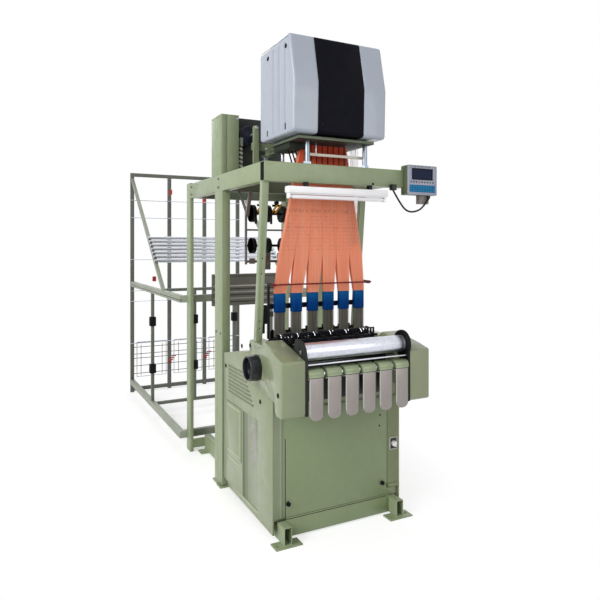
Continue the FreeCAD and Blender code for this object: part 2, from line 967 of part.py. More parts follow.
strip_plate = box(
    "strip_plate",
    (s.strip_inner, s.housing_half),
    (panel_face, panel_back),
    (s.strip_lip_height, s.housing_shoulder),
)
strip_lip = rod(
    "strip_lip",
    "X",
    panel_face,
    s.strip_lip_height,
    (s.strip_inner, s.housing_half),
    s.strip_lip_radius,
)
switch_plate = prism(
    "switch_plate",
    "Y",
    [
        (s.switch_x - s.switch_plate_width / 2, s.switch_height - s.switch_plate_height / 2),
        (s.switch_x - s.switch_plate_width / 2, s.switch_height + s.switch_plate_height / 2),
        (s.switch_x + s.switch_plate_width / 2, s.switch_height + s.switch_plate_height / 2),
        (s.switch_x + s.switch_plate_width / 2, s.switch_height - s.switch_plate_height / 2),
    ],
    (panel_face - s.switch_plate_thick, panel_face),
    [0, 1, 2, 3],
    s.foot_hole_radius,
)
lip_trim = box(
    "lip_trim",
    (s.strip_inner - 1, s.housing_half + 1),
    (panel_back, panel_back + s.strip_lip_radius * 2),
    (s.strip_lip_height - s.strip_lip_radius * 2, s.strip_lip_height + s.strip_lip_radius * 2),
)
node(cut("switch_strip", fuse("switch_strip_blank", [strip_plate, strip_lip, switch_plate]), [lip_trim]))

switch_face = panel_face - s.switch_plate_thick
knob_disc = many_sided(
    "switch_disc",
    "Y",
    s.switch_x,
    s.switch_height,
    (switch_face - s.switch_reach, switch_face),
    s.switch_radius,
    24,
)
knob_grip = box(
    "switch_grip",
    (s.switch_x - s.switch_grip / 2, s.switch_x + s.switch_grip / 2),
    (switch_face - s.switch_reach - s.switch_grip, switch_face - s.switch_reach),
    (s.switch_height - s.switch_radius + 1, s.switch_height + s.switch_radius - 1),
)
node(fuse("main_switch_knob", [knob_disc, knob_grip]))


def latch(label, x):
    disc = many_sided(
        label + "_disc",
        "Y",
        x,
        s.latch_height,
        (panel_face - s.latch_reach, panel_face),
        s.latch_radius,
        16,
    )
    slot = box(
        label + "_slot",
        (x - s.latch_radius * 1.2, x + s.latch_radius * 1.2),
        (panel_face - s.latch_reach, panel_face - s.latch_reach + s.latch_slot),
        (s.latch_height - s.latch_slot / 2, s.latch_height + s.latch_slot / 2),
    )
    return node(cut(label, disc, slot))


latch("panel_latch_left", s.latch_left_x)
latch("panel_latch_right", s.latch_right_x)

# ---------------------------------------------------------------- hand wheel
# the wheel sits where the tapered outer face of the arm passes its centre
taper = (s.arm_outer - s.cover_outer) / (s.arm_front - s.arm_straight + s.arm_rear)
knob_face = s.cover_outer + taper * (s.arm_rear - s.knob_y) + taper * s.knob_radius + 1
knob_outer = knob_face + s.knob_length
wheel_x = (-knob_outer, -knob_face)
wheel = cone("knob_rim", "X", s.knob_y, s.knob_height, wheel_x, s.knob_end_radius, s.knob_radius)
wheel_hollow = rod(
    "knob_hollow",
    "X",
    s.knob_y,
    s.knob_height,
    (-knob_outer - 1, -knob_outer + s.knob_depth),
    s.knob_end_radius - s.knob_wall,
)
wheel_shaft = rod(
    "knob_shaft",
    "X",
    s.knob_y,
    s.knob_height,
    (-knob_face - 1, -s.arm_inner + s.knob_shaft_length - 1),
    s.knob_shaft_radius,
)
node(fuse("hand_knob", [cut("knob_cup", wheel, wheel_hollow), wheel_shaft]))

# ---------------------------------------------------------------- take-off roller
drum = rod("roller_drum", "X", s.roller_y, s.roller_height, (-s.roller_half, s.roller_half), s.roller_radius)
journal = rod(
    "roller_journal",
    "X",
    s.roller_y,
    s.roller_height,
    (-(s.arm_inner - 1), s.arm_inner - 1),
    s.journal_radius,
)
node(fuse("takeoff_roller", [drum, journal]))

bracket_left_profile = [
    (-s.arm_front, s.bracket_foot),
    (-s.arm_front, s.roller_height - 46),
    (s.roller_y - 52, s.roller_height + 20),
    (s.roller_y - 18, s.roller_height + 62),
    (s.roller_y + 60, s.roller_height + 70),
    (s.roller_y + 82, s.roller_height + 30),
    (s.roller_y + 74, s.roller_height - 60),
    (s.roller_y + 20, (s.bracket_foot + s.roller_height) / 2 - 30),
    (s.roller_y + 20, s.bracket_foot),
]


def bracket(label, side, blank):
    ends = (-s.arm_inner, -s.bracket_in) if side < 0 else (s.bracket_in, s.arm_inner)
    bore = rod(
        label + "_bore",
        "X",
        s.roller_y,
        s.roller_height,
        (ends[0] - 1, ends[1] + 1),
        s.journal_radius + s.running_gap,
    )
    return node(cut(label, blank, bore))


left_blank = prism("bracket_left_plate", "X", bracket_left_profile, (-s.arm_inner, -s.bracket_in))
bracket("roller_bracket_left", -1, left_blank)
round_plate = rod(
    "bracket_disc",
    "X",
    s.roller_y,
    s.roller_height,
    (s.bracket_in, s.arm_inner),
    s.bracket_round_radius,
)
strip_down = prism(
    "bracket_strip",
    "X",
    [
        (-s.arm_front, s.bracket_foot),
        (-s.arm_front, s.roller_height - 30),
        (s.bracket_strip - s.arm_front, s.roller_height - 30),
        (s.bracket_strip - s.arm_front, s.bracket_foot),
    ],
    (s.bracket_in, s.arm_inner),
)
bracket("roller_bracket_right", 1, fuse("bracket_right_plate", [round_plate, strip_down]))

# ---------------------------------------------------------------- guide rod, pivot rod and chutes
guide = rod("guide_bar", "X", s.guide_y, s.guide_height, (-s.bracket_in, s.bracket_in), s.guide_radius)
pivot = rod("pivot_bar", "X", s.block_y, s.block_height, (-s.bracket_in, s.bracket_in), s.pivot_radius)
collars = []
collar_count = int(float(s.chute_count)) - 1
for i in range(collar_count):
    centre = s.chute_pitch * (i - (s.chute_count - 2) / 2)
    ends = (centre - s.collar_width / 2, centre + s.collar_width / 2)
    hole_ends = (ends[0] - 1, ends[1] + 1)
    hole_radius = (s.pivot_radius + s.running_gap) / math.cos(math.pi / 16)
    blank = many_sided("collar_%d_blank" % (i + 1), "X", s.block_y, s.block_height, ends, s.collar_radius, 16)
    hole = many_sided("collar_%d_hole" % (i + 1), "X", s.block_y, s.block_height, hole_ends, hole_radius, 16)
    collars.append(cut("collar_%d" % (i + 1), blank, hole))
node(group("guide_rod", [guide, pivot] + collars))

chute_front = s.block_y - s.block_radius + s.chute_thick
for i in range(int(float(s.chute_count))):
    label = "chute_%d" % (i + 1)
    centre = s.chute_pitch * (i - (s.chute_count - 1) / 2)
    half = s.chute_width / 2
    low_corner = []
    for step in range(5):
        turn = math.radians(22.5 * step)
        low_corner.append((s.chute_round * (1 - math.cos(turn)), s.chute_round * (1 - math.sin(turn))))
    outline = [(centre - half + u, s.chute_low + v) for u, v in reversed(low_corner)]
    outline += [(centre - half, s.chute_top), (centre + half, s.chute_top)]
    outline += [(centre + half - u, s.chute_low + v) for u, v in low_corner]
    plate = prism(label + "_plate", "Y", outline, (chute_front - s.chute_thick, chute_front))
    flanges = []
    for k in (-1, 1):
        edge = centre + k * half
        x = (edge, edge + s.chute_thick) if k < 0 else (edge - s.chute_thick, edge)
        flanges.append(
            box(
                "%s_flange_%d" % (label, k + 1),
                x,
                (chute_front, chute_front + s.chute_flange),
                (s.chute_low + s.chute_round, s.block_height - s.block_radius),
            )
        )
    block_ends = (centre - s.block_width / 2, centre + s.block_width / 2)
    # the block is round in front and below, with a square corner behind
    section = []
    for step in range(16):
        turn = math.radians(90 + 18 * step)
        round_y = s.block_y + s.block_radius * math.cos(turn)
        round_z = s.block_height + s.block_radius * math.sin(turn)
        section.append((round_y, round_z))
    section.append((s.block_y + s.block_radius, s.block_height + s.block_radius))
    block = prism(label + "_block", "X", section, block_ends)
    bore = many_sided(
        label + "_bore",
        "X",
        s.block_y,
        s.block_height,
        (block_ends[0] - 1, block_ends[1] + 1),
        (s.pivot_radius + s.running_gap) / math.cos(math.pi / 12),
        12,
    )
    node(cut(label, fuse(label + "_blank", [plate, block] + flanges), bore))

# ---------------------------------------------------------------- weaving bed, reeds and weft needles
bed_lip = s.work_height - s.bed_lip
bed_apron = s.housing_deck - s.bed_apron
bed_trough = s.work_height - s.bed_trough
bed_profile = [
    (s.bed_front, bed_apron),
    (s.bed_front, bed_lip - s.bed_lip * 1.5),
    (s.bed_front + s.bed_lip * 2, bed_lip),
    (s.sley_pivot_y - s.bed_trough_half, bed_lip),
    (s.sley_pivot_y - s.bed_trough_half, bed_trough),
    (s.sley_pivot_y + s.bed_trough_half, bed_trough),
    (s.sley_pivot_y + s.bed_trough_half, s.work_height),
    (s.bed_rear, s.work_height),
    (s.bed_rear, s.housing_deck),
    (-s.housing_front, s.housing_deck),
    (-s.housing_front, bed_apron),
]
bed = prism("bed_block", "X", bed_profile, (-s.bed_half, s.bed_half))
bed_slots = []
for i in range(int(float(s.chute_count))):
    centre = s.chute_pitch * (i - (s.chute_count - 1) / 2)
    bed_slots.append(
        box(
            "bed_slot_%d" % (i + 1),
            (centre - s.bed_slot_width / 2, centre + s.bed_slot_width / 2),
            (s.bed_front - 1, s.sley_pivot_y - s.bed_trough_half + 1),
            (bed_lip - s.bed_slot_depth, bed_lip + 1),
        )
    )
node(cut("weaving_bed", bed, bed_slots))

sley_parts = [
    box(
        "sley_beam",
        (-(s.bed_half - s.tie_over), s.bed_half - s.tie_over),
        (s.sley_pivot_y - s.sley_bar / 2, s.sley_pivot_y + s.sley_bar / 2),
        (s.sley_pivot_height - s.sley_bar / 2, s.sley_pivot_height + s.sley_bar / 2),
    ),
    rod(
        "sley_journal",
        "X",
        s.sley_pivot_y,
        s.sley_pivot_height,
        (-(s.arm_inner - 1), s.arm_inner - 1),
        s.sley_pivot_radius,
    ),
]
reed_low = s.sley_pivot_height + s.sley_bar / 2
for i in range(int(float(s.chute_count))):
    centre = s.chute_pitch * (i - (s.chute_count - 1) / 2)
    reed_x = (centre - s.reed_width / 2, centre + s.reed_width / 2)
    reed_y = (s.sley_pivot_y - s.reed_thick / 2, s.sley_pivot_y + s.reed_thick / 2)
    frame = box("reed_%d_frame" % (i + 1), reed_x, reed_y, (reed_low, reed_low + s.reed_height))
    gaps = []
    pitch = (s.reed_width - s.reed_band) / s.reed_dents
    for j in range(int(float(s.reed_dents))):
        left = centre - s.reed_width / 2 + s.reed_band / 2 + pitch * (j + 0.25)
        gaps.append(
            box(
                "reed_%d_gap_%d" % (i + 1, j + 1),
                (left, left + pitch / 2),
                (reed_y[0] - 1, reed_y[1] + 1),
                (reed_low + s.reed_band, reed_low + s.reed_height - s.reed_band),
            )
        )
    sley_parts.append(cut("reed_%d" % (i + 1), frame, gaps))
node(fuse("reed_sley", sley_parts))

needle_y = (s.needle_bar_y - s.needle_bar / 2, s.needle_bar_y + s.needle_bar / 2)
needle_z = (s.needle_bar_height - s.needle_bar / 2, s.needle_bar_height + s.needle_bar / 2)
needle_parts = [
    box("needle_carrier", (-(s.bed_half - s.needle_inset), s.bed_half - s.needle_inset), needle_y, needle_z)
]
for i in range(int(float(s.chute_count))):
    centre = s.chute_pitch * (i - (s.chute_count - 1) / 2)
    left = centre - s.chute_width / 2
    wire_y = (s.needle_bar_y, s.needle_bar_y + s.needle_reach)
    wire_z = (needle_z[1] + s.needle_wire, needle_z[1] + s.needle_wire * 2)
    clamp = box(
        "needle_%d_clamp" % (i + 1),
        (left, left + s.needle_bar),
        (needle_y[0] - s.needle_wire, needle_y[1] + s.needle_wire),
        (needle_z[0] - s.needle_wire, needle_z[1] + s.needle_wire * 3),
    )
    shank = box("needle_%d_shank" % (i + 1), (left + s.needle_wire, left + s.needle_wire * 2), wire_y, wire_z)
    tip = box(
        "needle_%d_tip" % (i + 1),
        (left + s.needle_wire, left + s.needle_bar * 3),
        (wire_y[1] - s.needle_wire, wire_y[1]),
        wire_z,
    )
    needle_parts += [clamp, shank, tip]
node(fuse("weft_needles", needle_parts))

# ---------------------------------------------------------------- harness, sleeves, heddles


def flat_bundle(lower, upper):
    """A flat-faced bundle between two level rectangles, each given as (centre, half width, depth, height)."""
    corners = []
    for centre, half, depth, height in (lower, upper):
        centre, half, depth, height = float(centre), float(half), float(depth), float(height)
        y0 = float(s.harness_y) - depth / 2
        y1 = float(s.harness_y) + depth / 2
        corners += [
            Vector(centre - half, y0, height),
            Vector(centre + half, y0, height),
            Vector(centre + half, y1, height),
            Vector(centre - half, y1, height),
        ]
    faces = []
    for loop in ((0, 1, 2, 3), (4, 5, 6, 7), (0, 1, 5, 4), (1, 2, 6, 5), (2, 3, 7, 6), (3, 0, 4, 7)):
        outline = [corners[k] for k in loop]
        faces.append(Part.Face(Part.makePolygon(outline + outline[:1])))
    solid = Part.Solid(Part.Shell(faces))
    if solid.Volume < 0:
        solid.reverse()
    return solid


# the cords fan out from the head and part into one tongue for each sleeve
depth = s.harness_depth * 0.8
cords = flat_bundle(
    (0, s.harness_split_half, depth, s.harness_split),
    (s.head_x, s.harness_top_half, depth, s.harness_top),
)
tongue_span = s.harness_split_half * 2 / s.chute_count
for i in range(int(float(s.chute_count))):
    offset = i - (float(s.chute_count) - 1) / 2
    foot_half = s.sleeve_width / 2 - s.harness_gap
    foot = (s.chute_pitch * offset, foot_half, s.harness_foot_depth * 0.8, s.sleeve_top)
    crown = (tongue_span * offset, s.tongue_top_width / 2, depth, s.harness_split)
    lower = (s.chute_pitch * offset, s.heddle_width / 2, s.heddle_depth, s.heddle_bottom)
    upper = (s.chute_pitch * offset, s.heddle_width / 2, s.heddle_depth, s.sleeve_bottom)
    cords = cords.fuse(flat_bundle(foot, crown))
    cords = cords.fuse(flat_bundle(lower, upper))
harness = doc.addObject("Part::Feature", "harness")
harness.Shape = cords.removeSplitter()
node(harness)

sleeves = []
for i in range(int(float(s.chute_count))):
    centre = s.chute_pitch * (i - (s.chute_count - 1) / 2)
    x = (centre - s.sleeve_width / 2, centre + s.sleeve_width / 2)
    y = (s.harness_y - s.sleeve_depth / 2, s.harness_y + s.sleeve_depth / 2)
    corner = s.sleeve_corner
    outline = [
        (x[0], y[0] + corner),
        (x[0], y[1] - corner),
        (x[0] + corner, y[1]),
        (x[1] - corner, y[1]),
        (x[1], y[1] - corner),
        (x[1], y[0] + corner),
        (x[1] - corner, y[0]),
        (x[0] + corner, y[0]),
    ]
    sleeves.append(prism("sleeve_%d" % (i + 1), "Z", outline, (s.sleeve_bottom, s.sleeve_top)))
node(group("spring_sleeves", sleeves))

tie = many_sided("tie_bar", "X", s.tie_y, s.tie_height, (-s.tie_half, s.tie_half), s.tie_radius, 8)
comb = box(
    "comb_bar",
    (-s.arm_inner, s.arm_inner),
    (s.comb_y, s.comb_y + s.comb_bar_deep),
    (s.comb_height - s.comb_bar_tall / 2, s.comb_height + s.comb_bar_tall / 2),
)
posts = []
for k in (-1, 1):
    edge = k * s.arm_inner
    x = (edge, edge + s.comb_bar_deep) if k < 0 else (edge - s.comb_bar_deep, edge)
    posts.append(
        box(
            "comb_post_%d" % (k + 1),
            x,
            (s.comb_y, s.comb_y + s.comb_bar_deep),
            (s.work_height, s.tie_height + s.tie_radius * 2),
        )
    )
    posts.append(
        box(
            "tie_arm_%d" % (k + 1),
            x,
            (s.tie_y - s.tie_radius * 2, s.comb_y),
            (s.tie_height - s.tie_radius * 2, s.tie_height + s.tie_radius * 2),
        )
    )
node(fuse("heddle_bars", [tie, comb] + posts))

# ---------------------------------------------------------------- gantry
beam_back = -s.beam_front + s.beam_thick
node(
    tube_x(
        "front_beam",
        (-s.gantry_half, s.beam_right_end),
        (-s.beam_front, beam_back),
        (s.beam_bottom, s.beam_top),
        s.tube_wall,
    )
)


def pair_x(side, inner, outer):
    return (-outer, -inner) if side < 0 else (inner, outer)


def slope_height(y):
    """Height of the sloping top of the body behind the arms."""
    return s.shoulder_height - (y - s.arm_rear) * s.shoulder_slope


for side, word in ((-1, "left"), (1, "right")):
    node(
        tube_y(
            "side_beam_" + word,
            pair_x(side, s.beam_in, s.gantry_half),
            (beam_back, s.beam_rear),
            (s.beam_bottom, s.beam_top),
            s.tube_wall,
        )
    )
    shaft = tube_z(
        "column_%s_tube" % word,
        pair_x(side, s.beam_in, s.gantry_half),
        (s.column_front, s.column_front + s.column_depth),
        (s.column_plate, s.beam_bottom),
        s.tube_wall,
    )
    pad = box(
        "column_%s_pad" % word,
        pair_x(side, s.beam_in - s.column_plate_over, s.gantry_half + s.column_plate_over),
        (s.column_front - s.column_plate_over, s.column_front + s.column_depth + s.column_plate_over),
        (dim(0), s.column_plate),
    )
    # the pad keeps clear of the rear foot plate of the rail in front of it
    clear = box(
        "column_%s_clear" % word,
        pair_x(side, s.rail_centre - s.foot_plate_width, s.rail_centre + s.foot_plate_width),
        (dim(0), s.foot_plate_front + 1),
        (dim(-1), s.column_plate + 1),
    )
    rail_clear = box(
        "column_%s_rail_clear" % word,
        pair_x(side, rail_in - 1, rail_out + 1),
        (dim(0), s.rail_half_length + 1),
        (dim(-1), rail_top + 1),
    )
    node(cut("column_" + word, fuse("column_%s_whole" % word, [shaft, pad]), [clear, rail_clear]))
    rear_post = tube_z(
        "rear_post_" + word,
        pair_x(side, s.gantry_half - s.rear_post_thick, s.gantry_half),
        (s.beam_rear, s.beam_rear + s.rear_post_depth),
        (dim(0), s.rear_post_top),
        s.tube_wall,
    )
    foot_out = s.foot_beam_inner + s.foot_beam_width
    foot_top = s.foot_beam_low + s.foot_beam_height
    ground = tube_y(
        "gantry_foot_%s_tube" % word,
        pair_x(side, s.foot_beam_inner, foot_out),
        (s.housing_rear, s.beam_rear),
        (s.foot_beam_low, foot_top),
        s.tube_wall,
    )
    pad = box(
        "gantry_foot_%s_pad" % word,
        pair_x(side, s.foot_beam_inner, foot_out + s.foot_beam_width + s.column_plate),
        (s.beam_rear - s.foot_pad_length, s.beam_rear),
        (dim(0), s.foot_beam_low),
    )
    link = box(
        "gantry_foot_%s_link" % word,
        pair_x(side, foot_out, s.gantry_half),
        (s.beam_rear - s.link_thick, s.beam_rear),
        (s.link_low, s.link_low + s.link_height),
    )
    bolts = []
    for k in (0, 1):
        bolts.append(
            many_sided(
                "gantry_foot_%s_bolt_%d" % (word, k + 1),
                "Y",
                side * (s.gantry_half - s.rear_post_thick / 2),
                s.link_low + s.link_height * (0.25 + 0.5 * k),
                (s.beam_rear - s.link_thick - s.bolt_head, s.beam_rear - s.link_thick),
                s.bolt_radius,
                6,
            )
        )
    node(fuse("rear_support_" + word, [rear_post, ground, pad, link] + bolts))
    # the left stay ends on the hump of the arm cover, the right one on the slope behind it
    top_y = s.stay_top_y
    foot_y = s.stay_foot_y
    foot_heights = (s.arm_hump, s.arm_hump)
    if side > 0:
        top_y = s.stay_right_top_y
        foot_y = s.stay_right_foot_y
        foot_heights = (slope_height(foot_y - s.stay_depth), slope_height(foot_y))
    stay = prism(
        "stay_%s_bar" % word,
        "X",
        [
            (foot_y - s.stay_depth, foot_heights[0]),
            (top_y, s.beam_bottom),
            (top_y + s.stay_depth, s.beam_bottom),
            (foot_y, foot_heights[1]),
        ],
        pair_x(side, s.gantry_half - s.stay_width, s.gantry_half),
    )
    holes = []
    first = s.arm_hump + s.stay_hole_foot
    upper = s.arm_hump + s.stay_hole_upper
    for k, height in enumerate((first, first + s.stay_hole_step, upper, upper + s.stay_hole_step * 2)):
        holes.append(
            many_sided(
                "stay_%s_hole_%d" % (word, k + 1),
                "Y",
                side * (s.gantry_half - s.stay_width / 2),
                height,
                (top_y - s.stay_depth, foot_y + s.stay_depth),
                s.stay_hole_radius,
                12,
            )
        )
    node(cut("stay_" + word, stay, holes))

cross_beams = []
for name, y in (("middle", s.cross_middle_y), ("rear", s.cross_rear_y)):
    cross_beams.append(
        tube_x(
            "cross_%s" % name,
            (-s.beam_in, s.beam_in),
            (y, y + s.beam_thick),
            (s.beam_bottom, s.beam_top),
            s.tube_wall,
        )
    )

# ---------------------------------------------------------------- patterning head
head_profile = [
    (-s.head_front, s.head_low),
    (-(s.head_front + s.head_crease), s.head_crease_height),
    (-(s.head_front - s.head_lean), s.head_front_top),
    (s.head_rear, s.head_high),
    (s.head_rear, s.head_low),
]


def head_shell(label, side):
    x = (
        (s.head_x - s.head_half, s.head_x - s.head_panel_half - s.head_gap)
        if side < 0
        else (s.head_x + s.head_panel_half + s.head_gap, s.head_x + s.head_half)
    )
    block = prism(label + "_blank", "X", head_profile, x, [0, 2, 3, 4], s.head_round)
    flutes = []
    outer = x[0] if side < 0 else x[1]
    for k in range(3):
        centre = -(s.head_front - s.flute_first) + k * s.flute_pitch
        inward = outer - side * s.flute_depth
        groove = [
            (outer + side, centre - s.flute_depth * 2),
            (outer, centre - s.flute_depth * 2),
            (inward, centre - s.flute_depth),
            (inward, centre + s.flute_depth),
            (outer, centre + s.flute_depth * 2),
            (outer + side, centre + s.flute_depth * 2),
        ]
        flute_ends = (s.head_low + s.flute_end, s.head_high - s.flute_end)
        flutes.append(prism("%s_flute_%d" % (label, k + 1), "Z", groove, flute_ends))
    return node(cut(label, block, flutes))


head_shell("jacquard_cover_left", -1)
head_shell("jacquard_cover_right", 1)
node(
    prism(
        "jacquard_centre_panel",
        "X",
        head_profile,
        (s.head_x - s.head_panel_half, s.head_x + s.head_panel_half),
        [0, 2, 3, 4],
        s.head_round,
    )
)
base_plate = box(
    "base_plate",
    (s.head_x - s.base_half, s.head_x + s.base_half),
    (s.base_front, s.base_rear),
    (s.base_low, s.base_top),
)
base_riser = box(
    "base_riser",
    (s.head_x - s.base_half + s.riser_inset, s.head_x + s.base_half - s.riser_inset),
    (s.base_front + s.riser_inset, s.base_rear - s.riser_inset),
    (s.base_top, s.head_low),
)
# the legs stand on the front beam and on two sleepers over the side beams
legs = []
rail_centre_y = s.cross_middle_y + s.beam_thick / 2
head_rails = []
for name, x, y in (
    ("front_left", s.leg_left, s.leg_front),
    ("front_right", s.leg_right, s.leg_front),
    ("rear_left", s.head_rail_left, rail_centre_y),
    ("rear_right", s.head_rail_right, rail_centre_y),
):
    post = many_sided("leg_%s" % name, "Z", x, y, (s.beam_top, s.base_low), s.leg_radius, 16)
    nut_ends = (s.beam_top, s.beam_top + s.leg_nut_height)
    nut = many_sided("leg_%s_nut" % name, "Z", x, y, nut_ends, s.leg_nut_radius, 6)
    legs.append(fuse("levelling_leg_%s" % name, [post, nut]))
for name, x in (("left", s.head_rail_left), ("right", s.head_rail_right)):
    rail_x = (x - s.head_rail_width / 2, x + s.head_rail_width / 2)
    head_rails.append(
        box(
            "head_rail_" + name,
            rail_x,
            (s.base_rear, rail_centre_y + s.leg_nut_radius),
            (s.base_low, s.base_top),
        )
    )
    head_rails.append(
        box(
            "head_rail_post_" + name,
            rail_x,
            (s.cross_middle_y - s.arm_beam_thick, s.cross_middle_y),
            (s.base_top, s.arm_beam_low),
        )
    )
node(group("levelling_legs", legs))

# ---------------------------------------------------------------- lift drive
cabinet = box(
    "cabinet_body",
    (s.cabinet_left, s.cabinet_right),
    (s.cabinet_front, s.cabinet_rear),
    (s.beam_top, s.cabinet_top),
)
seam = box(
    "cabinet_seam",
    (s.cabinet_right - s.cabinet_door, s.cabinet_right - s.cabinet_door + s.cabinet_seam),
    (s.cabinet_front, s.cabinet_front + s.cabinet_seam),
    (s.beam_top - 1, s.cabinet_top + 1),
)
panel = box(
    "cabinet_screen",
    (s.cabinet_right, s.screen_right),
    (s.screen_front, s.screen_front + s.screen_thick),
    (s.beam_top, s.screen_top),
)
node(cut("drive_cabinet", fuse("cabinet_blank", [cabinet, panel]), seam))

motor_ends = (s.screen_front - s.motor_length, s.screen_front)
motor = many_sided("motor_can", "Y", s.motor_x, s.motor_height, motor_ends, s.motor_radius, 32)
motor_nose = many_sided(
    "motor_nose",
    "Y",
    s.motor_x,
    s.motor_height,
    (motor_ends[0] - s.motor_nose, motor_ends[0]),
    s.motor_radius * 0.45,
    16,
)
terminal_box = box(
    "motor_terminal_box",
    (s.conduit_x - s.terminal_half, s.conduit_x + s.terminal_half),
    (s.conduit_y - s.terminal_half, s.conduit_y - s.terminal_half + s.terminal_depth),
    (s.conduit_high, s.conduit_high + s.terminal_tall),
)
node(fuse("drive_motor", [motor, motor_nose, terminal_box]))

lever_ends = (s.lever_y - s.lever_thick, s.lever_y)
lever_bar = prism(
    "lever_bar",
    "Y",
    [
        (s.lever_x - s.lever_width / 2, s.beam_top + s.lever_foot),
        (s.lever_x - s.lever_width / 2, s.lever_top),
        (s.lever_x + s.lever_width / 2, s.lever_top),
        (s.lever_x + s.lever_width / 2, s.beam_top + s.lever_foot),
    ],
    lever_ends,
    [1, 2],
    s.lever_boss - 1,
)
lever_bore = rod(
    "lever_bore",
    "Y",
    s.lever_x,
    s.lever_pivot,
    (lever_ends[0] - 1, lever_ends[1] + 1),
    s.journal_radius + s.running_gap,
)
node(cut("drive_lever", lever_bar, lever_bore))

pin = rod(
    "lever_pin",
    "Y",
    s.lever_x,
    s.lever_pivot,
    (lever_ends[0], s.cross_middle_y),
    s.journal_radius,
)
pin_plate = box(
    "pin_plate",
    (s.lever_x - s.lever_width / 2, s.lever_x + s.lever_width / 2),
    (s.cross_middle_y, s.cross_middle_y + s.link_thick),
    (s.beam_top, s.lever_pivot + s.journal_radius * 2),
)
arm_y = (s.cross_middle_y - s.arm_beam_thick, s.cross_middle_y)
lift_arm = box(
    "lift_arm",
    (s.lever_x - s.lever_width / 2, s.head_x + s.base_half - s.arm_beam_right_inset),
    arm_y,
    (s.arm_beam_low, s.arm_beam_low + s.arm_beam_tall),
)

# the conduit steps through four rings for each rib, with its bore left open
conduit_ribs = int(float(s.conduit_ribs))
conduit_low = float(s.conduit_low)
conduit_high = float(s.conduit_high)
conduit_root = float(s.conduit_root)
conduit_outer = float(s.conduit_outer)
conduit_end = 2 * conduit_outer
rib_pitch = (conduit_high - conduit_low - 2 * conduit_end) / conduit_ribs
conduit_sides = int(float(s.conduit_sides))


def ring(radius, z):
    corners = []
    for step in range(conduit_sides):
        turn = 2 * math.pi * step / conduit_sides
        across = float(s.conduit_x) + radius * math.cos(turn)
        corners.append(Vector(across, float(s.conduit_y) + radius * math.sin(turn), z))
    return corners


rings = [ring(conduit_root, conduit_low)]
for i in range(conduit_ribs):
    z = conduit_low + conduit_end + rib_pitch * i
    rings.append(ring(conduit_root, z + 0.04 * rib_pitch))
    rings.append(ring(conduit_outer, z + 0.24 * rib_pitch))
    rings.append(ring(conduit_outer, z + 0.56 * rib_pitch))
    rings.append(ring(conduit_root, z + 0.76 * rib_pitch))
rings.append(ring(conduit_root, conduit_high))
rings.append(ring(float(s.conduit_bore), conduit_high))
rings.append(ring(float(s.conduit_bore), conduit_low))
conduit_faces = []
for lower, upper in zip(rings, rings[1:] + rings[:1]):
    for k in range(conduit_sides):
        after = (k + 1) % conduit_sides
        loop = [lower[k], lower[after], upper[after], upper[k], lower[k]]
        conduit_faces.append(Part.Face(Part.makePolygon(loop)))
conduit_solid = Part.Solid(Part.Shell(conduit_faces))
if conduit_solid.Volume < 0:
    conduit_solid.reverse()
conduit = doc.addObject("Part::Feature", "conduit")
conduit.Shape = conduit_solid
node(conduit)
node(fuse("cross_beams", cross_beams + [pin, pin_plate]))
node(fuse("jacquard_base", [base_plate, base_riser, lift_arm] + head_rails))

# ---------------------------------------------------------------- control box and cable
case = prism(
    "control_case",
    "Y",
    [
        (s.box_left, s.box_low),
        (s.box_left, s.box_high),
        (s.box_right, s.box_high),
        (s.box_right, s.box_low),
    ],
    (s.box_front, s.box_rear),
    [0, 1, 2, 3],
    s.box_round,
)
box_mid = (s.box_left + s.box_right) / 2
window = box(
    "display_recess",
    (box_mid - s.display_wide / 2, box_mid + s.display_wide / 2),
    (s.box_front - 1, s.box_front + s.display_deep),
    (s.box_high - s.display_drop - s.display_tall, s.box_high - s.display_drop),
)
node(cut("control_box", case, window))

plug_centre = s.box_left + s.box_width * 0.66
plug_y = s.box_rear - s.plug_inset
plug_body = box(
    "plug_body",
    (plug_centre - s.plug_width / 2, plug_centre + s.plug_width / 2),
    (plug_y - s.plug_depth / 2, plug_y + s.plug_depth / 2),
    (s.box_low - s.plug_drop, s.box_low),
)
gland_x = s.box_right - s.gland_inset
gland_y = s.box_front + s.gland_front
gland_ends = (s.box_low - s.gland_tall, s.box_low)
gland = rod("box_gland", "Z", gland_x, gland_y, gland_ends, s.cable_radius * 1.7)

# route of the free cable: from the gland under the box, round and up to the clip under the beam
ROUTE = [
    (0, 0, 0),
    (-26, 0, -42),
    (-88, 0, -96),
    (-182, 4, -106),
    (-243, 11, -37),
    (-289, 17, 40),
]
route = []
for x, y, z in ROUTE:
    route.append((gland_x + x, gland_y + y, gland_ends[0] + z))
clip_x, clip_y, clip_z = route[-1]
clip = box(
    "clip_block",
    (clip_x - s.clip_width / 2, clip_x + s.clip_width / 2),
    (clip_y - s.clip_width / 2, -s.beam_front),
    (clip_z, s.beam_bottom + s.clip_width / 2),
)
node(group("cable_fittings", [plug_body, gland, clip]))


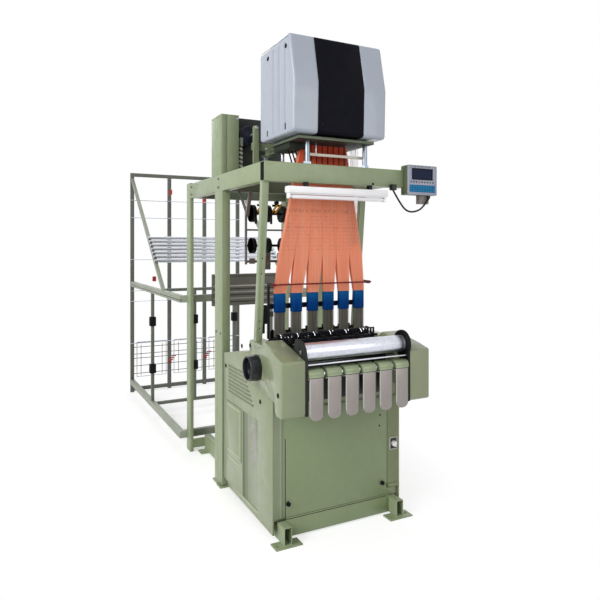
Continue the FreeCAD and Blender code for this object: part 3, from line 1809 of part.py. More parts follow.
def tube_route(points, radius):
    """Straight runs joined by tangent arcs."""
    points = [Vector(float(x), float(y), float(z)) for x, y, z in points]
    edges = []
    last = points[0]
    radii = []
    for i in range(1, len(points) - 1):
        before = points[i] - points[i - 1]
        after = points[i + 1] - points[i]
        shorter = min(before.Length, after.Length)
        a = Vector(before).normalize()
        b = Vector(after).normalize()
        turn = a.getAngle(b)
        bend = 0.45 * shorter / math.tan(turn / 2)
        reach = 0.45 * shorter
        start = points[i] - a * reach
        end = points[i] + b * reach
        middle_dir = (b - a).normalize()
        centre = points[i] + middle_dir * (bend / math.cos(turn / 2))
        middle = centre - middle_dir * bend
        edges.append(Part.LineSegment(last, start).toShape())
        edges.append(Part.Arc(start, middle, end).toShape())
        last = end
        radii.append(bend)
    edges.append(Part.LineSegment(last, points[-1]).toShape())
    path = Part.Wire(edges)
    first = (points[1] - points[0]).normalize()
    profile = Part.Wire(Part.Circle(points[0], first, radius).toShape())
    solid = path.makePipeShell([profile], True, False)
    length = path.Length
    print("cable length %.1f mm, least bend radius %.1f mm" % (length, min(radii)))
    print("cable radii", ", ".join("%.0f" % r for r in radii))
    print("volume over section times length %.4f" % (solid.Volume / (math.pi * radius ** 2 * length)))
    return solid


cable = doc.addObject("Part::Feature", "control_cable")
cable.Shape = tube_route(route, float(s.cable_radius))
node(cable)

# ---------------------------------------------------------------- lamp
lamp_profile = [
    (s.lamp_y - s.lamp_wide / 2, s.lamp_low),
    (s.lamp_y - s.lamp_wide / 2 + s.lamp_slope, s.lamp_low + s.lamp_tall),
    (s.lamp_y + s.lamp_wide / 2 - s.lamp_slope, s.lamp_low + s.lamp_tall),
    (s.lamp_y + s.lamp_wide / 2, s.lamp_low),
]
lamp_body = prism("lamp_housing", "X", lamp_profile, (-s.lamp_half, s.lamp_half + s.lamp_shift))
tube_z_centre = s.lamp_low - s.lamp_tube_drop
lamp_tube = rod(
    "lamp_tube",
    "X",
    s.lamp_y,
    tube_z_centre,
    (-(s.lamp_half - s.lamp_socket), s.lamp_half + s.lamp_shift - s.lamp_socket),
    s.lamp_tube_radius,
)
sockets = []
for name, x in (("left", -s.lamp_half), ("right", s.lamp_half + s.lamp_shift - s.lamp_socket)):
    sockets.append(
        box(
            "lamp_socket_" + name,
            (x, x + s.lamp_socket),
            (s.lamp_y - s.lamp_tube_radius, s.lamp_y + s.lamp_tube_radius),
            (tube_z_centre - s.lamp_tube_radius, s.lamp_low),
        )
    )
    sockets.append(
        box(
            "lamp_hanger_" + name,
            (x, x + s.lamp_socket),
            (s.lamp_y, -s.beam_front + s.beam_thick / 2),
            (s.lamp_low + s.lamp_tall, s.beam_bottom),
        )
    )
node(fuse("lamp", [lamp_body, lamp_tube] + sockets))

# ---------------------------------------------------------------- creel
half_post = s.creel_post / 2
rear_y = (s.creel_rear - half_post, s.creel_rear + half_post)
rear_parts = [
    box(
        "creel_top_rail",
        (s.creel_left - half_post, s.creel_right + half_post),
        rear_y,
        (s.creel_top - s.creel_post, s.creel_top),
    ),
    box(
        "creel_floor_rail",
        (s.creel_left - half_post, s.creel_right + half_post),
        rear_y,
        (s.creel_floor_gap, s.creel_floor_gap + s.creel_post),
    ),
]
post_x = []
for i in range(4):
    x = s.creel_left + i * (s.creel_right - s.creel_left) / 3
    post_x.append(x)
    rear_parts.append(
        box(
            "creel_rear_post_%d" % (i + 1),
            (x - half_post, x + half_post),
            rear_y,
            (dim(0), s.creel_top - s.creel_post),
        )
    )
node(fuse("creel_rear_frame", rear_parts))

rail_rear = s.creel_rear - half_post
low_top = s.creel_rail_low + s.creel_rail_tall
high_top = s.creel_rail_high + s.creel_rail_tall
rails = []
for name, x in (("left", s.creel_left), ("right", s.creel_right)):
    for level, z0 in (("low", s.creel_rail_low), ("high", s.creel_rail_high)):
        rails.append(
            box(
                "creel_%s_%s_rail" % (name, level),
                (x - half_post, x + half_post),
                (s.creel_front, rail_rear),
                (z0, z0 + s.creel_rail_tall),
            )
        )
for level, z0 in (("low", s.creel_rail_low), ("high", s.creel_rail_high)):
    rails.append(
        box(
            "creel_front_%s_rail" % level,
            (s.creel_left, s.creel_right),
            (s.creel_front, s.creel_front + s.creel_post),
            (z0, z0 + s.creel_rail_tall),
        )
    )
mid_y = (s.creel_middle - s.creel_middle_post / 2, s.creel_middle + s.creel_middle_post / 2)
middle_parts = []
for level, z0 in (("low", s.creel_rail_low), ("high", s.creel_rail_high)):
    middle_parts.append(
        box(
            "creel_middle_%s_rail" % level,
            (s.creel_left + half_post, s.creel_right - half_post),
            mid_y,
            (z0 + 10, z0 + 10 + s.creel_middle_post),
        )
    )
half_mid = s.creel_middle_post / 2
for i, x in enumerate(post_x[1:3]):
    middle_parts.append(
        box(
            "creel_middle_post_%d" % (i + 1),
            (x - half_mid, x + half_mid),
            mid_y,
            (s.creel_rail_low + 10 + s.creel_middle_post, s.creel_rail_high + 10),
        )
    )
for name, x in (("left", s.creel_left), ("right", s.creel_right)):
    middle_parts.append(
        box(
            "creel_middle_post_%s" % name,
            (x - half_mid, x + half_mid),
            mid_y,
            (low_top, s.creel_rail_high),
        )
    )
clamps = []
for i, x in enumerate(post_x):
    for k, z0 in enumerate((s.clamp_low, s.clamp_high)):
        clamps.append(
            box(
                "creel_clamp_%d_%d" % (i + 1, k + 1),
                (x - half_mid - s.clamp_over, x + half_mid + s.clamp_over),
                (mid_y[0] - s.clamp_over, mid_y[1] + s.clamp_over),
                (z0 - s.clamp_tall / 2, z0 + s.clamp_tall / 2),
            )
        )
node(fuse("creel_middle_frame", middle_parts + clamps))

# slanting braces from the top of the rear frame down to the upper rails
brace_z1 = s.creel_top - s.creel_post - s.creel_brace_drop
braces = []
for name, x in (("left", s.creel_left), ("right", s.creel_right)):
    braces.append(
        prism(
            "creel_brace_%s_bar" % name,
            "X",
            [
                (s.creel_brace_y - s.creel_brace * 0.8, high_top),
                (rail_rear, brace_z1 + s.creel_brace * 1.2),
                (rail_rear, brace_z1),
                (s.creel_brace_y + s.creel_brace * 0.8, high_top),
            ],
            (x - s.creel_brace / 2, x + s.creel_brace / 2),
        )
    )
tubes = []
rise = (brace_z1 - high_top) / (rail_rear - s.creel_brace_y - s.creel_brace * 0.8)
for i in range(int(float(s.creel_tube_count))):
    y = s.creel_tube_y + i * s.creel_tube_pitch
    z = high_top + rise * (y - s.creel_brace_y + s.creel_brace * 0.8) + s.creel_tube_rise
    tubes.append(
        many_sided(
            "creel_tube_%d" % (i + 1),
            "X",
            y,
            z,
            (s.creel_left - half_post, s.creel_right + half_post),
            s.creel_tube_radius,
            16,
        )
    )
node(fuse("creel_rails", rails + braces))
rods = []
rod_y = s.creel_rear - half_post - s.creel_rod_radius
for i in range(6):
    rods.append(
        many_sided(
            "creel_rod_%d" % (i + 1),
            "X",
            rod_y,
            getattr(s, "creel_rod_%d" % (i + 1)),
            (s.creel_left - half_post, s.creel_right + half_post),
            s.creel_rod_radius,
            8,
        )
    )
racks = []
rack_back = s.creel_rear - half_post - s.creel_rod_radius * 2
rack_y = (rack_back - s.rack_wire, rack_back)
rack_z = (s.rack_low, s.rack_low + s.rack_tall)
for i in range(3):
    left = post_x[i] + half_post + s.rack_inset
    right = post_x[i + 1] - half_post - s.rack_inset
    middle = (left + right) / 2
    frame = box("rack_%d_frame" % (i + 1), (left, right), rack_y, rack_z)
    windows = []
    for k, (start, end) in enumerate(((left, middle), (middle, right))):
        windows.append(
            box(
                "rack_%d_window_%d" % (i + 1, k + 1),
                (start + s.rack_wire * (1 - 0.5 * k), end - s.rack_wire * (0.5 + 0.5 * k)),
                (rack_y[0] - 1, rack_y[1] + 1),
                (rack_z[0] + s.rack_wire, rack_z[1] - s.rack_wire),
            )
        )
    racks.append(cut("rack_%d" % (i + 1), frame, windows))
node(group("creel_bars", tubes + rods + racks))

# ---------------------------------------------------------------- drop wire rack on the front upper rail
drop_y = (s.creel_front - s.drop_deep, s.creel_front)
drop_x = (s.drop_left, s.drop_right)
drop_low = high_top - s.drop_sag
drop_high = drop_low + s.drop_tall
drop_parts = [
    box("drop_floor", drop_x, drop_y, (drop_low, drop_low + s.drop_edge)),
    box("drop_roof", drop_x, drop_y, (drop_high - s.drop_edge, drop_high)),
    box("drop_strap", drop_x, (s.creel_front - s.drop_strap, s.creel_front), (s.creel_rail_high, high_top)),
]
drop_step = (s.drop_right - s.drop_left - s.drop_plate) / (s.drop_count - 1)
for i in range(int(float(s.drop_count))):
    x = s.drop_left + i * drop_step
    drop_parts.append(
        box(
            "drop_plate_%d" % (i + 1),
            (x, x + s.drop_plate),
            drop_y,
            (drop_low + s.drop_edge, drop_high - s.drop_edge),
        )
    )
node(fuse("plate_rack", drop_parts))

# ---------------------------------------------------------------- feeders under the middle cross beam
hangers = []
feeder_foot = s.feeder_bar_height - s.feeder_plate_foot
hanger_ends = (
    (s.feeder_left, s.feeder_left + s.feeder_plate),
    (s.feeder_right - s.feeder_plate, s.feeder_right),
)
for k, x in enumerate(hanger_ends):
    hanger = prism(
        "feeder_hanger_%d" % (k + 1),
        "X",
        [
            (s.feeder_y - s.feeder_plate_half, feeder_foot),
            (s.feeder_y - s.feeder_plate_half, s.feeder_high + s.feeder_plate_half * 2),
            (s.cross_middle_y, s.beam_bottom),
            (s.cross_middle_y + s.feeder_plate_half * 2, s.beam_bottom),
            (s.feeder_y + s.feeder_plate_half, s.feeder_high + s.feeder_plate_half),
            (s.feeder_y + s.feeder_plate_half, feeder_foot),
        ],
        x,
    )
    bores = []
    for j, z in enumerate((s.feeder_high, s.feeder_low)):
        bores.append(
            rod(
                "feeder_bore_%d_%d" % (k + 1, j + 1),
                "X",
                s.feeder_y,
                z,
                (x[0] - 1, x[1] + 1),
                s.feeder_shaft + s.running_gap,
            )
        )
    hangers.append(cut("feeder_plate_%d" % (k + 1), hanger, bores))
span = (s.feeder_left + s.feeder_plate, s.feeder_right - s.feeder_plate)
half_bar = s.feeder_bar / 2
half_guide = s.feeder_guide / 2
bars = [
    many_sided(
        "feeder_bar_upper",
        "X",
        s.feeder_y,
        s.feeder_low + s.feeder_rod_rise,
        span,
        s.feeder_shaft * 0.7,
        8,
    ),
    box(
        "feeder_bar_lower",
        span,
        (s.feeder_y - half_bar, s.feeder_y + half_bar),
        (s.feeder_bar_height - half_bar, s.feeder_bar_height + half_bar),
    ),
]
for i in range(int(float(s.chute_count))):
    x = s.feeder_first + i * s.chute_pitch
    bars.append(
        box(
            "feeder_guide_%d" % (i + 1),
            (x - half_guide, x + half_guide),
            (s.feeder_y - half_guide, s.feeder_y + half_guide),
            (s.feeder_bar_height - half_guide, s.feeder_bar_height + half_guide * 1.5),
        )
    )
node(fuse("feeder_frame", hangers + bars))


def wheel_shaft_node(label, z, radius):
    shaft_ends = (s.feeder_left, s.feeder_right)
    shaft = many_sided(label + "_shaft", "X", s.feeder_y, z, shaft_ends, s.feeder_shaft, 12)
    wheels = [shaft]
    for i in range(int(float(s.chute_count))):
        x = s.feeder_first + i * s.chute_pitch
        ends = (x - s.wheel_thick / 2, x + s.wheel_thick / 2)
        wheels.append(many_sided("%s_disc_%d" % (label, i + 1), "X", s.feeder_y, z, ends, radius, 14))
    return node(fuse(label, wheels))


wheel_shaft_node("feeder_wheels_upper", s.feeder_high, s.wheel_radius)
wheel_shaft_node("feeder_wheels_lower", s.feeder_low, s.wheel_low_radius)

# ---------------------------------------------------------------- checks and files
doc.recompute()
bad = []
for obj in doc.Objects:
    if "Invalid" in obj.State or "Error" in obj.State:
        bad.append("%s: %s" % (obj.Label, obj.State))
for obj in NODES:
    if obj.Shape.isNull() or not obj.Shape.isValid() or not obj.Shape.Solids:
        bad.append("%s: no sound solid" % obj.Label)
if bad:
    raise RuntimeError("; ".join(bad))
if len(NODES) > 60:
    raise RuntimeError("too many pieces: %d" % len(NODES))
for obj in NODES:
    obj.Shape.exportStep("parts/%s.step" % obj.Label)
print("%d pieces written" % len(NODES))
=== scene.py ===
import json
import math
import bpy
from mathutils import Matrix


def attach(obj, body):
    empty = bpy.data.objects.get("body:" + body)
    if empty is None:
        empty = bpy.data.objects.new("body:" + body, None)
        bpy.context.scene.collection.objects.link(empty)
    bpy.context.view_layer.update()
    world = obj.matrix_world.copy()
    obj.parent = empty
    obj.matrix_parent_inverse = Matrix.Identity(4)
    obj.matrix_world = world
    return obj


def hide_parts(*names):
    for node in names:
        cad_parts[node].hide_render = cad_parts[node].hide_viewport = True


bl_info = {
    "name": "Power loom",
    "version": (1, 1, 0),
    "blender": (4, 5, 0),
    "location": "View3D > Sidebar > Loom",
    "description": "Finishes and fine pieces of a narrow fabric power loom around its CAD frame",
    "category": "Object",
}

import bpy
from mathutils import Matrix, Vector

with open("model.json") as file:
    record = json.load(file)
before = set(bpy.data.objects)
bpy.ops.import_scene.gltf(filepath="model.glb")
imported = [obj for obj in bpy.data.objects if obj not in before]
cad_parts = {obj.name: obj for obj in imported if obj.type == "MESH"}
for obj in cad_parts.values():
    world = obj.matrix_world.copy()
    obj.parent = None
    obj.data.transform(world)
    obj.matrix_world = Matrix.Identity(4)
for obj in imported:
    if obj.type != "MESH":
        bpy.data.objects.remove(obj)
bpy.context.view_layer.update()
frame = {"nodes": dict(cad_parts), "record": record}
ROOT = "machine_frame"
BODY_OF = {}
for body_name, members in frame["record"]["behaviour"]["bodies"].items():
    for member in members:
        BODY_OF[member] = body_name

# places and sizes that several pieces share, in metres
PITCH = 0.118  # from one ribbon to the next
HEADS = [(i - 2.5) * PITCH for i in range(6)]
FEEDERS = [-0.270 + i * PITCH for i in range(6)]
FEEDER_Y = 0.35
WEFT_GUIDES = [-0.190 + i * PITCH for i in range(5)]
HARNESS_Y = -0.165
HARNESS_FOOT, HARNESS_SPLIT, HARNESS_TOP = 1.4302, 1.665, 2.386
TONGUE_WIDTH, TONGUE_DEPTH = 0.076, 0.032
SPLIT_PITCH, TOP_PITCH = 0.103, 0.056
ROLLER_AXIS = (-0.58, 1.128)
DECK, FRONT_DECK = 1.1395, 1.1275  # top of the weaving bed, behind and in front
COVER_FACE, ARM_FACE = 0.4545, 0.5075
PANEL_FRONT = -0.4118
SEAM_X = -0.3745
SHELL_ROUND = 0.016
SHELL_SIDES = {"jacquard_cover_left": -0.315, "jacquard_cover_right": 0.355}
BEAM_SIDE = 0.4595
BOX_FACE, KEYPAD_FACE = -0.3468, -0.3484
LAMP_LEFT, LAMP_RIGHT = -0.325, 0.408
LAMP_AXIS = (-0.33, 2.034)
CREEL_Y = 3.488
CREEL_POSTS = (-0.5, -0.0593, 0.3813)
CABLE_START = (0.764, -0.335, 2.064)
FRONTWARD, BACK_AND_UP = (0, -1, 0), (0, -1, 0.2)


# ---- node groups
def new_group(name, outputs, build):
    """A shared effect: takes a vector and a scale, gives out masks and heights."""
    group = bpy.data.node_groups.new(name, "ShaderNodeTree")
    group.interface.new_socket("Vector", in_out="INPUT", socket_type="NodeSocketVector")
    scale = group.interface.new_socket("Scale", in_out="INPUT", socket_type="NodeSocketFloat")
    scale.default_value = 1.0
    for output in outputs:
        group.interface.new_socket(output, in_out="OUTPUT", socket_type="NodeSocketFloat")
    build(group, group.nodes.new("NodeGroupInput"), group.nodes.new("NodeGroupOutput"))
    return group


def feed(tree, node, values):
    """Numbers or other nodes' outputs go into the inputs named."""
    for name, value in values.items():
        if isinstance(value, (int, float, tuple)):
            node.inputs[name].default_value = value
        else:
            tree.links.new(value, node.inputs[name])
    return node


def make(tree, kind, values):
    return feed(tree, tree.nodes.new("ShaderNode" + kind), values)


def noise(tree, vector, scale, detail=4.0, rough=0.5, stretch=None):
    if stretch:
        vector = make(tree, "Mapping", {"Scale": stretch, "Vector": vector}).outputs["Vector"]
    values = {"Detail": detail, "Roughness": rough, "Vector": vector, "Scale": scale}
    return make(tree, "TexNoise", values).outputs["Fac"]


def calc(tree, a, b, operation="MULTIPLY"):
    node = make(tree, "Math", {0: a, 1: b})
    node.operation = operation
    return node.outputs[0]


def ramp(tree, value, low, high, to_low=0.0, to_high=1.0):
    values = {"Value": value, "From Min": low, "From Max": high, "To Min": to_low, "To Max": to_high}
    return make(tree, "MapRange", values).outputs["Result"]


def axes_of(tree, vector):
    return dict(zip("xyz", make(tree, "SeparateXYZ", {0: vector}).outputs))


def repeat_axis(tree, value, start, pitch):
    """How far a point lies behind the last multiple of the pitch."""
    steps = calc(tree, calc(tree, value, start, "SUBTRACT"), 1.0 / pitch)
    return calc(tree, calc(tree, steps, 1.0, "FRACT"), pitch)


def inside(tree, axes, limits):
    """1 where the point lies between the limits given for some axes, in metres."""
    mask = 1.0
    for axis, low, high in limits:
        if low is not None:
            mask = calc(tree, mask, calc(tree, axes[axis], low, "GREATER_THAN"))
        if high is not None:
            mask = calc(tree, mask, calc(tree, axes[axis], high, "LESS_THAN"))
    return mask


def build_grain(tree, start, end):
    """Fine orange peel of a sprayed or moulded skin."""
    vector, scale = start.outputs["Vector"], start.outputs["Scale"]
    coarse = noise(tree, vector, calc(tree, scale, 260.0), 2.0)
    fine = noise(tree, vector, calc(tree, scale, 1400.0), 3.0)
    feed(tree, end, {"Height": calc(tree, calc(tree, coarse, 0.65), calc(tree, fine, 0.35), "ADD")})


def build_soiling(tree, start, end):
    """Patches of handling and dust, and thin scratches."""
    vector, scale = start.outputs["Vector"], start.outputs["Scale"]
    wide = noise(tree, vector, calc(tree, scale, 2.2), 5.0, 0.6)
    small = noise(tree, vector, calc(tree, scale, 19.0), 6.0, 0.65)
    streak = noise(tree, vector, calc(tree, scale, 30.0), 4.0, 0.7, (1.0, 1.0, 0.08))
    patches = ramp(tree, calc(tree, wide, small), 0.18, 0.38)
    feed(tree, end, {"Patches": patches, "Scratches": ramp(tree, streak, 0.62, 0.74)})


def build_brushed(tree, start, end):
    """Fine lines that run along X, as a lathe or belt leaves them."""
    vector, scale = start.outputs["Vector"], start.outputs["Scale"]
    lines = noise(tree, vector, calc(tree, scale, 420.0), 5.0, 0.6, (0.02, 1.0, 1.0))
    spots = noise(tree, vector, calc(tree, scale, 55.0), 5.0, 0.6)
    feed(tree, end, {"Lines": lines, "Spots": ramp(tree, spots, 0.35, 0.75)})


GROUPS = {}


def make_groups():
    GROUPS["grain"] = new_group("Fine grain", ["Height"], build_grain)
    GROUPS["soiling"] = new_group("Soiling", ["Patches", "Scratches"], build_soiling)
    GROUPS["brushed"] = new_group("Brushed lines", ["Lines", "Spots"], build_brushed)


def use_group(tree, key, vector):
    node = tree.nodes.new("ShaderNodeGroup")
    node.node_tree = GROUPS[key]
    return feed(tree, node, {"Vector": vector}).outputs


def mix_colour(tree, factor, a, b):
    node = tree.nodes.new("ShaderNodeMix")
    node.data_type = "RGBA"
    first, second = [i for i, socket in enumerate(node.inputs) if socket.type == "RGBA"]
    feed(tree, node, {"Factor": factor, first: a, second: b})
    return [socket for socket in node.outputs if socket.type == "RGBA"][0]


def linear(colour, factor=1.0):
    """A display colour from 0 to 1 as a scene colour."""
    out = []
    for c in colour:
        c = min(max(c, 0.0), 1.0)
        out.append((c / 12.92 if c <= 0.04045 else ((c + 0.055) / 1.055) ** 2.4) * factor)
    return (out[0], out[1], out[2], 1.0)


def tint(colour, red, green, blue):
    return (colour[0] * red, colour[1] * green, colour[2] * blue)


# ---- materials
def new_material(name):
    material = bpy.data.materials.new(name)
    material.use_nodes = True
    tree = material.node_tree
    coordinates = tree.nodes.new("ShaderNodeTexCoord")
    return material, tree, tree.nodes["Principled BSDF"], coordinates.outputs["Object"]


def add_bump(tree, shader, height, strength, distance, edge=0.0):
    """Raises the skin; with an edge radius, sharp edges catch light as rounded ones do."""
    bump = make(tree, "Bump", {"Strength": strength, "Distance": distance, "Height": height})
    if edge:
        soft = make(tree, "Bevel", {"Radius": edge})
        soft.samples = 6
        feed(tree, bump, {"Normal": soft.outputs["Normal"]})
    feed(tree, shader, {"Normal": bump.outputs["Normal"]})


def coated(name, colour, roughness, wear, grain, coat=0.0, metallic=0.0, level=0.5, zones=(), edge=0.0):
    """Paint, moulding or enamel with handling marks and a fine skin.

    A zone is a list of (axis, low, high) with a colour, some of them painted shade and painted highlights;
    axis u runs from one chute to the next.
    """
    material, tree, shader, vector = new_material(name)
    soil = use_group(tree, "soiling", vector)
    skin = use_group(tree, "grain", vector)
    base = linear(colour)
    shade = linear(colour, 0.72)
    light = linear(colour, 1.25)
    if zones:
        axes = axes_of(tree, vector)
        axes["u"] = repeat_axis(tree, axes["x"], -3 * PITCH, PITCH)
        for limits, other in zones:
            base = mix_colour(tree, inside(tree, axes, limits), base, linear(other))
        shade = mix_colour(tree, 0.28, base, (0.0, 0.0, 0.0, 1.0))
        light = mix_colour(tree, 0.2, base, (1.0, 1.0, 1.0, 1.0))
    worn = mix_colour(tree, calc(tree, soil["Patches"], wear), base, shade)
    marked = mix_colour(tree, calc(tree, soil["Scratches"], wear * 0.5), worn, light)
    rough = ramp(tree, soil["Patches"], 0.0, 1.0, roughness - 0.05, roughness + 0.12)
    feed(tree, shader, {"Base Color": marked, "Roughness": rough, "Coat Weight": coat})
    feed(tree, shader, {"Metallic": metallic, "Specular IOR Level": level})
    add_bump(tree, shader, skin["Height"], grain, 0.0004, edge)
    return material


def metal(name, colour, roughness, lines, full=1.0):
    material, tree, shader, vector = new_material(name)
    brushed = use_group(tree, "brushed", vector)
    base = mix_colour(tree, brushed["Spots"], linear(colour), linear(colour, 0.78))
    rough = ramp(tree, brushed["Lines"], 0.3, 0.7, roughness - 0.06, roughness + 0.1)
    feed(tree, shader, {"Base Color": base, "Metallic": full, "Roughness": rough})
    add_bump(tree, shader, brushed["Lines"], lines, 0.0002)
    return material


def threads(name, colour, shade, roughness=0.75, fineness=150.0, rows=(), deep=None, level=0.25, knots=0.0):
    """Many fine cords side by side: streaks along the height, knots in rows, and a colour blended in
    towards the top, which is painted shade under the head on the harness and a lighter tint on the sleeves.
    """
    material, tree, shader, vector = new_material(name)
    streaks = noise(tree, vector, fineness, 4.0, 0.65, (1.0, 1.0, 0.012))
    slow = noise(tree, vector, 14.0, 3.0, 0.6, (1.0, 1.0, 0.1))
    axes = axes_of(tree, vector)
    base = mix_colour(tree, ramp(tree, streaks, 0.35, 0.65), linear(colour), linear(shade))
    base = mix_colour(tree, ramp(tree, slow, 0.4, 0.7, 0.0, 0.45), base, linear(shade))
    for low, high, amount in rows:
        band = inside(tree, axes, [("z", low, high)])
        spots = noise(tree, vector, 110.0, 1.0, 0.4, (1.0, 0.3, 0.25))
        dots = calc(tree, band, ramp(tree, spots, 0.48, 0.56, 0.0, amount))
        base = mix_colour(tree, dots, base, linear((0.42, 0.18, 0.13)))
    if knots:
        line = calc(tree, repeat_axis(tree, axes["z"], 0.0, 0.024), 0.006, "LESS_THAN")
        spots = noise(tree, vector, 170.0, 1.0, 0.4, (1.0, 0.3, 0.4))
        specks = calc(tree, line, ramp(tree, spots, 0.5, 0.58, 0.0, knots))
        zone = inside(tree, axes, [("z", 1.70, 2.06)])
        base = mix_colour(tree, calc(tree, specks, zone), base, linear((0.55, 0.24, 0.17)))
    # blend towards the top: painted shade on the harness cords and core, a lighter tint on the sleeves
    if deep:
        low, high, other = deep
        base = mix_colour(tree, ramp(tree, axes["z"], low, high), base, linear(other))
    feed(tree, shader, {"Base Color": base, "Roughness": roughness, "Specular IOR Level": level})
    add_bump(tree, shader, streaks, 0.5, 0.0006)
    return material


def spiral(name, light, dark, centre, pitch):
    """A pale hose with one dark turn wound into it."""
    material, tree, shader, vector = new_material(name)
    axes = axes_of(tree, vector)
    across = calc(tree, axes["x"], centre[0], "SUBTRACT")
    along = calc(tree, axes["y"], centre[1], "SUBTRACT")
    turn = calc(tree, calc(tree, along, across, "ARCTAN2"), 1.0 / (2.0 * math.pi))
    phase = calc(tree, calc(tree, axes["z"], 1.0 / pitch), turn, "ADD")
    wave = calc(tree, phase, 1.0, "FRACT")
    grime = noise(tree, vector, 70.0, 4.0, 0.6)
    base = mix_colour(tree, calc(tree, wave, 0.52, "GREATER_THAN"), linear(light), linear(dark))
    base = mix_colour(tree, ramp(tree, grime, 0.45, 0.75, 0.0, 0.35), base, linear(dark))
    feed(tree, shader, {"Base Color": base, "Roughness": ramp(tree, grime, 0.3, 0.7, 0.4, 0.55)})
    add_bump(tree, shader, wave, 0.4, 0.0008)
    return material


BLACK = (0.045, 0.045, 0.055)
RECESS = ("x", -0.4516, -0.4504)
RECESS_TALL = ("z", 0.0895, 0.6505)
# The drive cabinet's part right of x -0.3245, behind the head: its dark colour is painted shade of a back
# panel in shadow
CABINET_SHADED_SIDE = ("x", -0.3245, None)
PLATE_FRONT = ("y", None, -0.4125)
# Bands on the plate rack's sheet, by the height of their lower edge; the pale band at 1.372 m is a painted
# highlight
RACK_BANDS = {
    1.455: (0.28, 0.28, 0.25),
    1.372: (0.72, 0.71, 0.67),
    1.345: (0.20, 0.20, 0.19),
    1.318: (0.62, 0.61, 0.58),
    1.292: (0.20, 0.20, 0.19),
    1.262: (0.60, 0.59, 0.56),
    1.232: (0.22, 0.22, 0.21),
}


def zone_colours(green):
    """Other colours within one finish, among them painted shade and painted highlights: each as the limits
    of a zone and its colour.
    """
    return {
        "green_body": [
            ([RECESS, ("y", -0.1862, 0.0665), RECESS_TALL], (0.50, 0.54, 0.42)),
            ([RECESS, ("y", -0.176, -0.085), ("z", 0.37, 0.64)], (0.545, 0.545, 0.49)),
            # painted shade: darker in two steps towards the rear wall of the side recess
            ([RECESS, ("y", -0.018, 0.0665), RECESS_TALL], (0.42, 0.455, 0.345)),
            ([RECESS, ("y", 0.030, 0.0665), RECESS_TALL], (0.335, 0.37, 0.27)),
            # painted shade: near black on the body's front between the arms, above 0.79 m, behind the
            # chutes
            ([("x", -0.36, 0.36), ("y", None, -0.39), ("z", 0.79, None)], (0.05, 0.055, 0.05)),
        ],
        "front": [
            ([("x", None, SEAM_X)], (0.50, 0.54, 0.43)),
            # painted highlight and painted shade: a light and a dark vertical band where the panel's left
            # corner turns
            ([("x", -0.408, -0.403)], (0.60, 0.64, 0.52)),
            ([("x", -0.392, -0.389)], (0.36, 0.40, 0.29)),
        ],
        "strip": [
            ([PLATE_FRONT, ("z", 0.4085, 0.4875), ("x", 0.3755, 0.4345)], (0.86, 0.86, 0.84)),
            ([PLATE_FRONT, ("z", 0.4125, 0.4835), ("x", 0.3795, 0.4305)], BLACK),
        ],
        "cabinet": [
            # painted shade: the cabinet's back panel behind the head, near black above 2.445 m and dark
            # green below
            ([CABINET_SHADED_SIDE], (0.085, 0.105, 0.105)),
            ([CABINET_SHADED_SIDE, ("z", None, 2.445)], (0.16, 0.20, 0.145)),
        ],
        "base": [
            ([("z", None, 2.3925)], (0.13, 0.13, 0.11)),
            ([("y", 0.4, None)], tint(green, 0.9, 0.9, 0.9)),
        ],
        "chute": [
            # painted highlight on each chute's left edge, painted shade on its right edge
            ([("u", None, 0.0185)], (0.80, 0.79, 0.77)),
            ([("u", 0.0985, None)], (0.40, 0.39, 0.37)),
            ([("z", 0.990, None)], (0.20, 0.21, 0.18)),
            ([("z", 0.994, None)], tint(green, 0.98, 0.98, 0.98)),
        ],
        "creel_pale": [([("x", None, -0.5), ("z", 1.262, 1.270)], (0.25, 0.27, 0.23))],
        "creel_middle": [([("z", 0.4518, 0.5082)], BLACK), ([("z", 0.9308, 0.9872)], BLACK)],
        "rack": [([("y", None, 1.3035), ("z", z, z + 0.011)], RACK_BANDS[z]) for z in RACK_BANDS],
        "plug": [([("x", None, 0.60)], BLACK), ([("y", None, -0.3235)], BLACK)],
        "face": [
            ([("y", None, -0.3445)], (0.60, 0.615, 0.68)),
            ([("z", 2.2755, None)], (0.52, 0.53, 0.50)),
        ],
        "motor": [
            ([("x", None, -0.2843), ("z", None, 2.5255), ("y", None, 0.5255)], (0.62, 0.65, 0.62)),
        ],
        "bars": [([("y", None, -0.1985), ("x", None, 0.356)], (0.46, 0.13, 0.11))],
    }


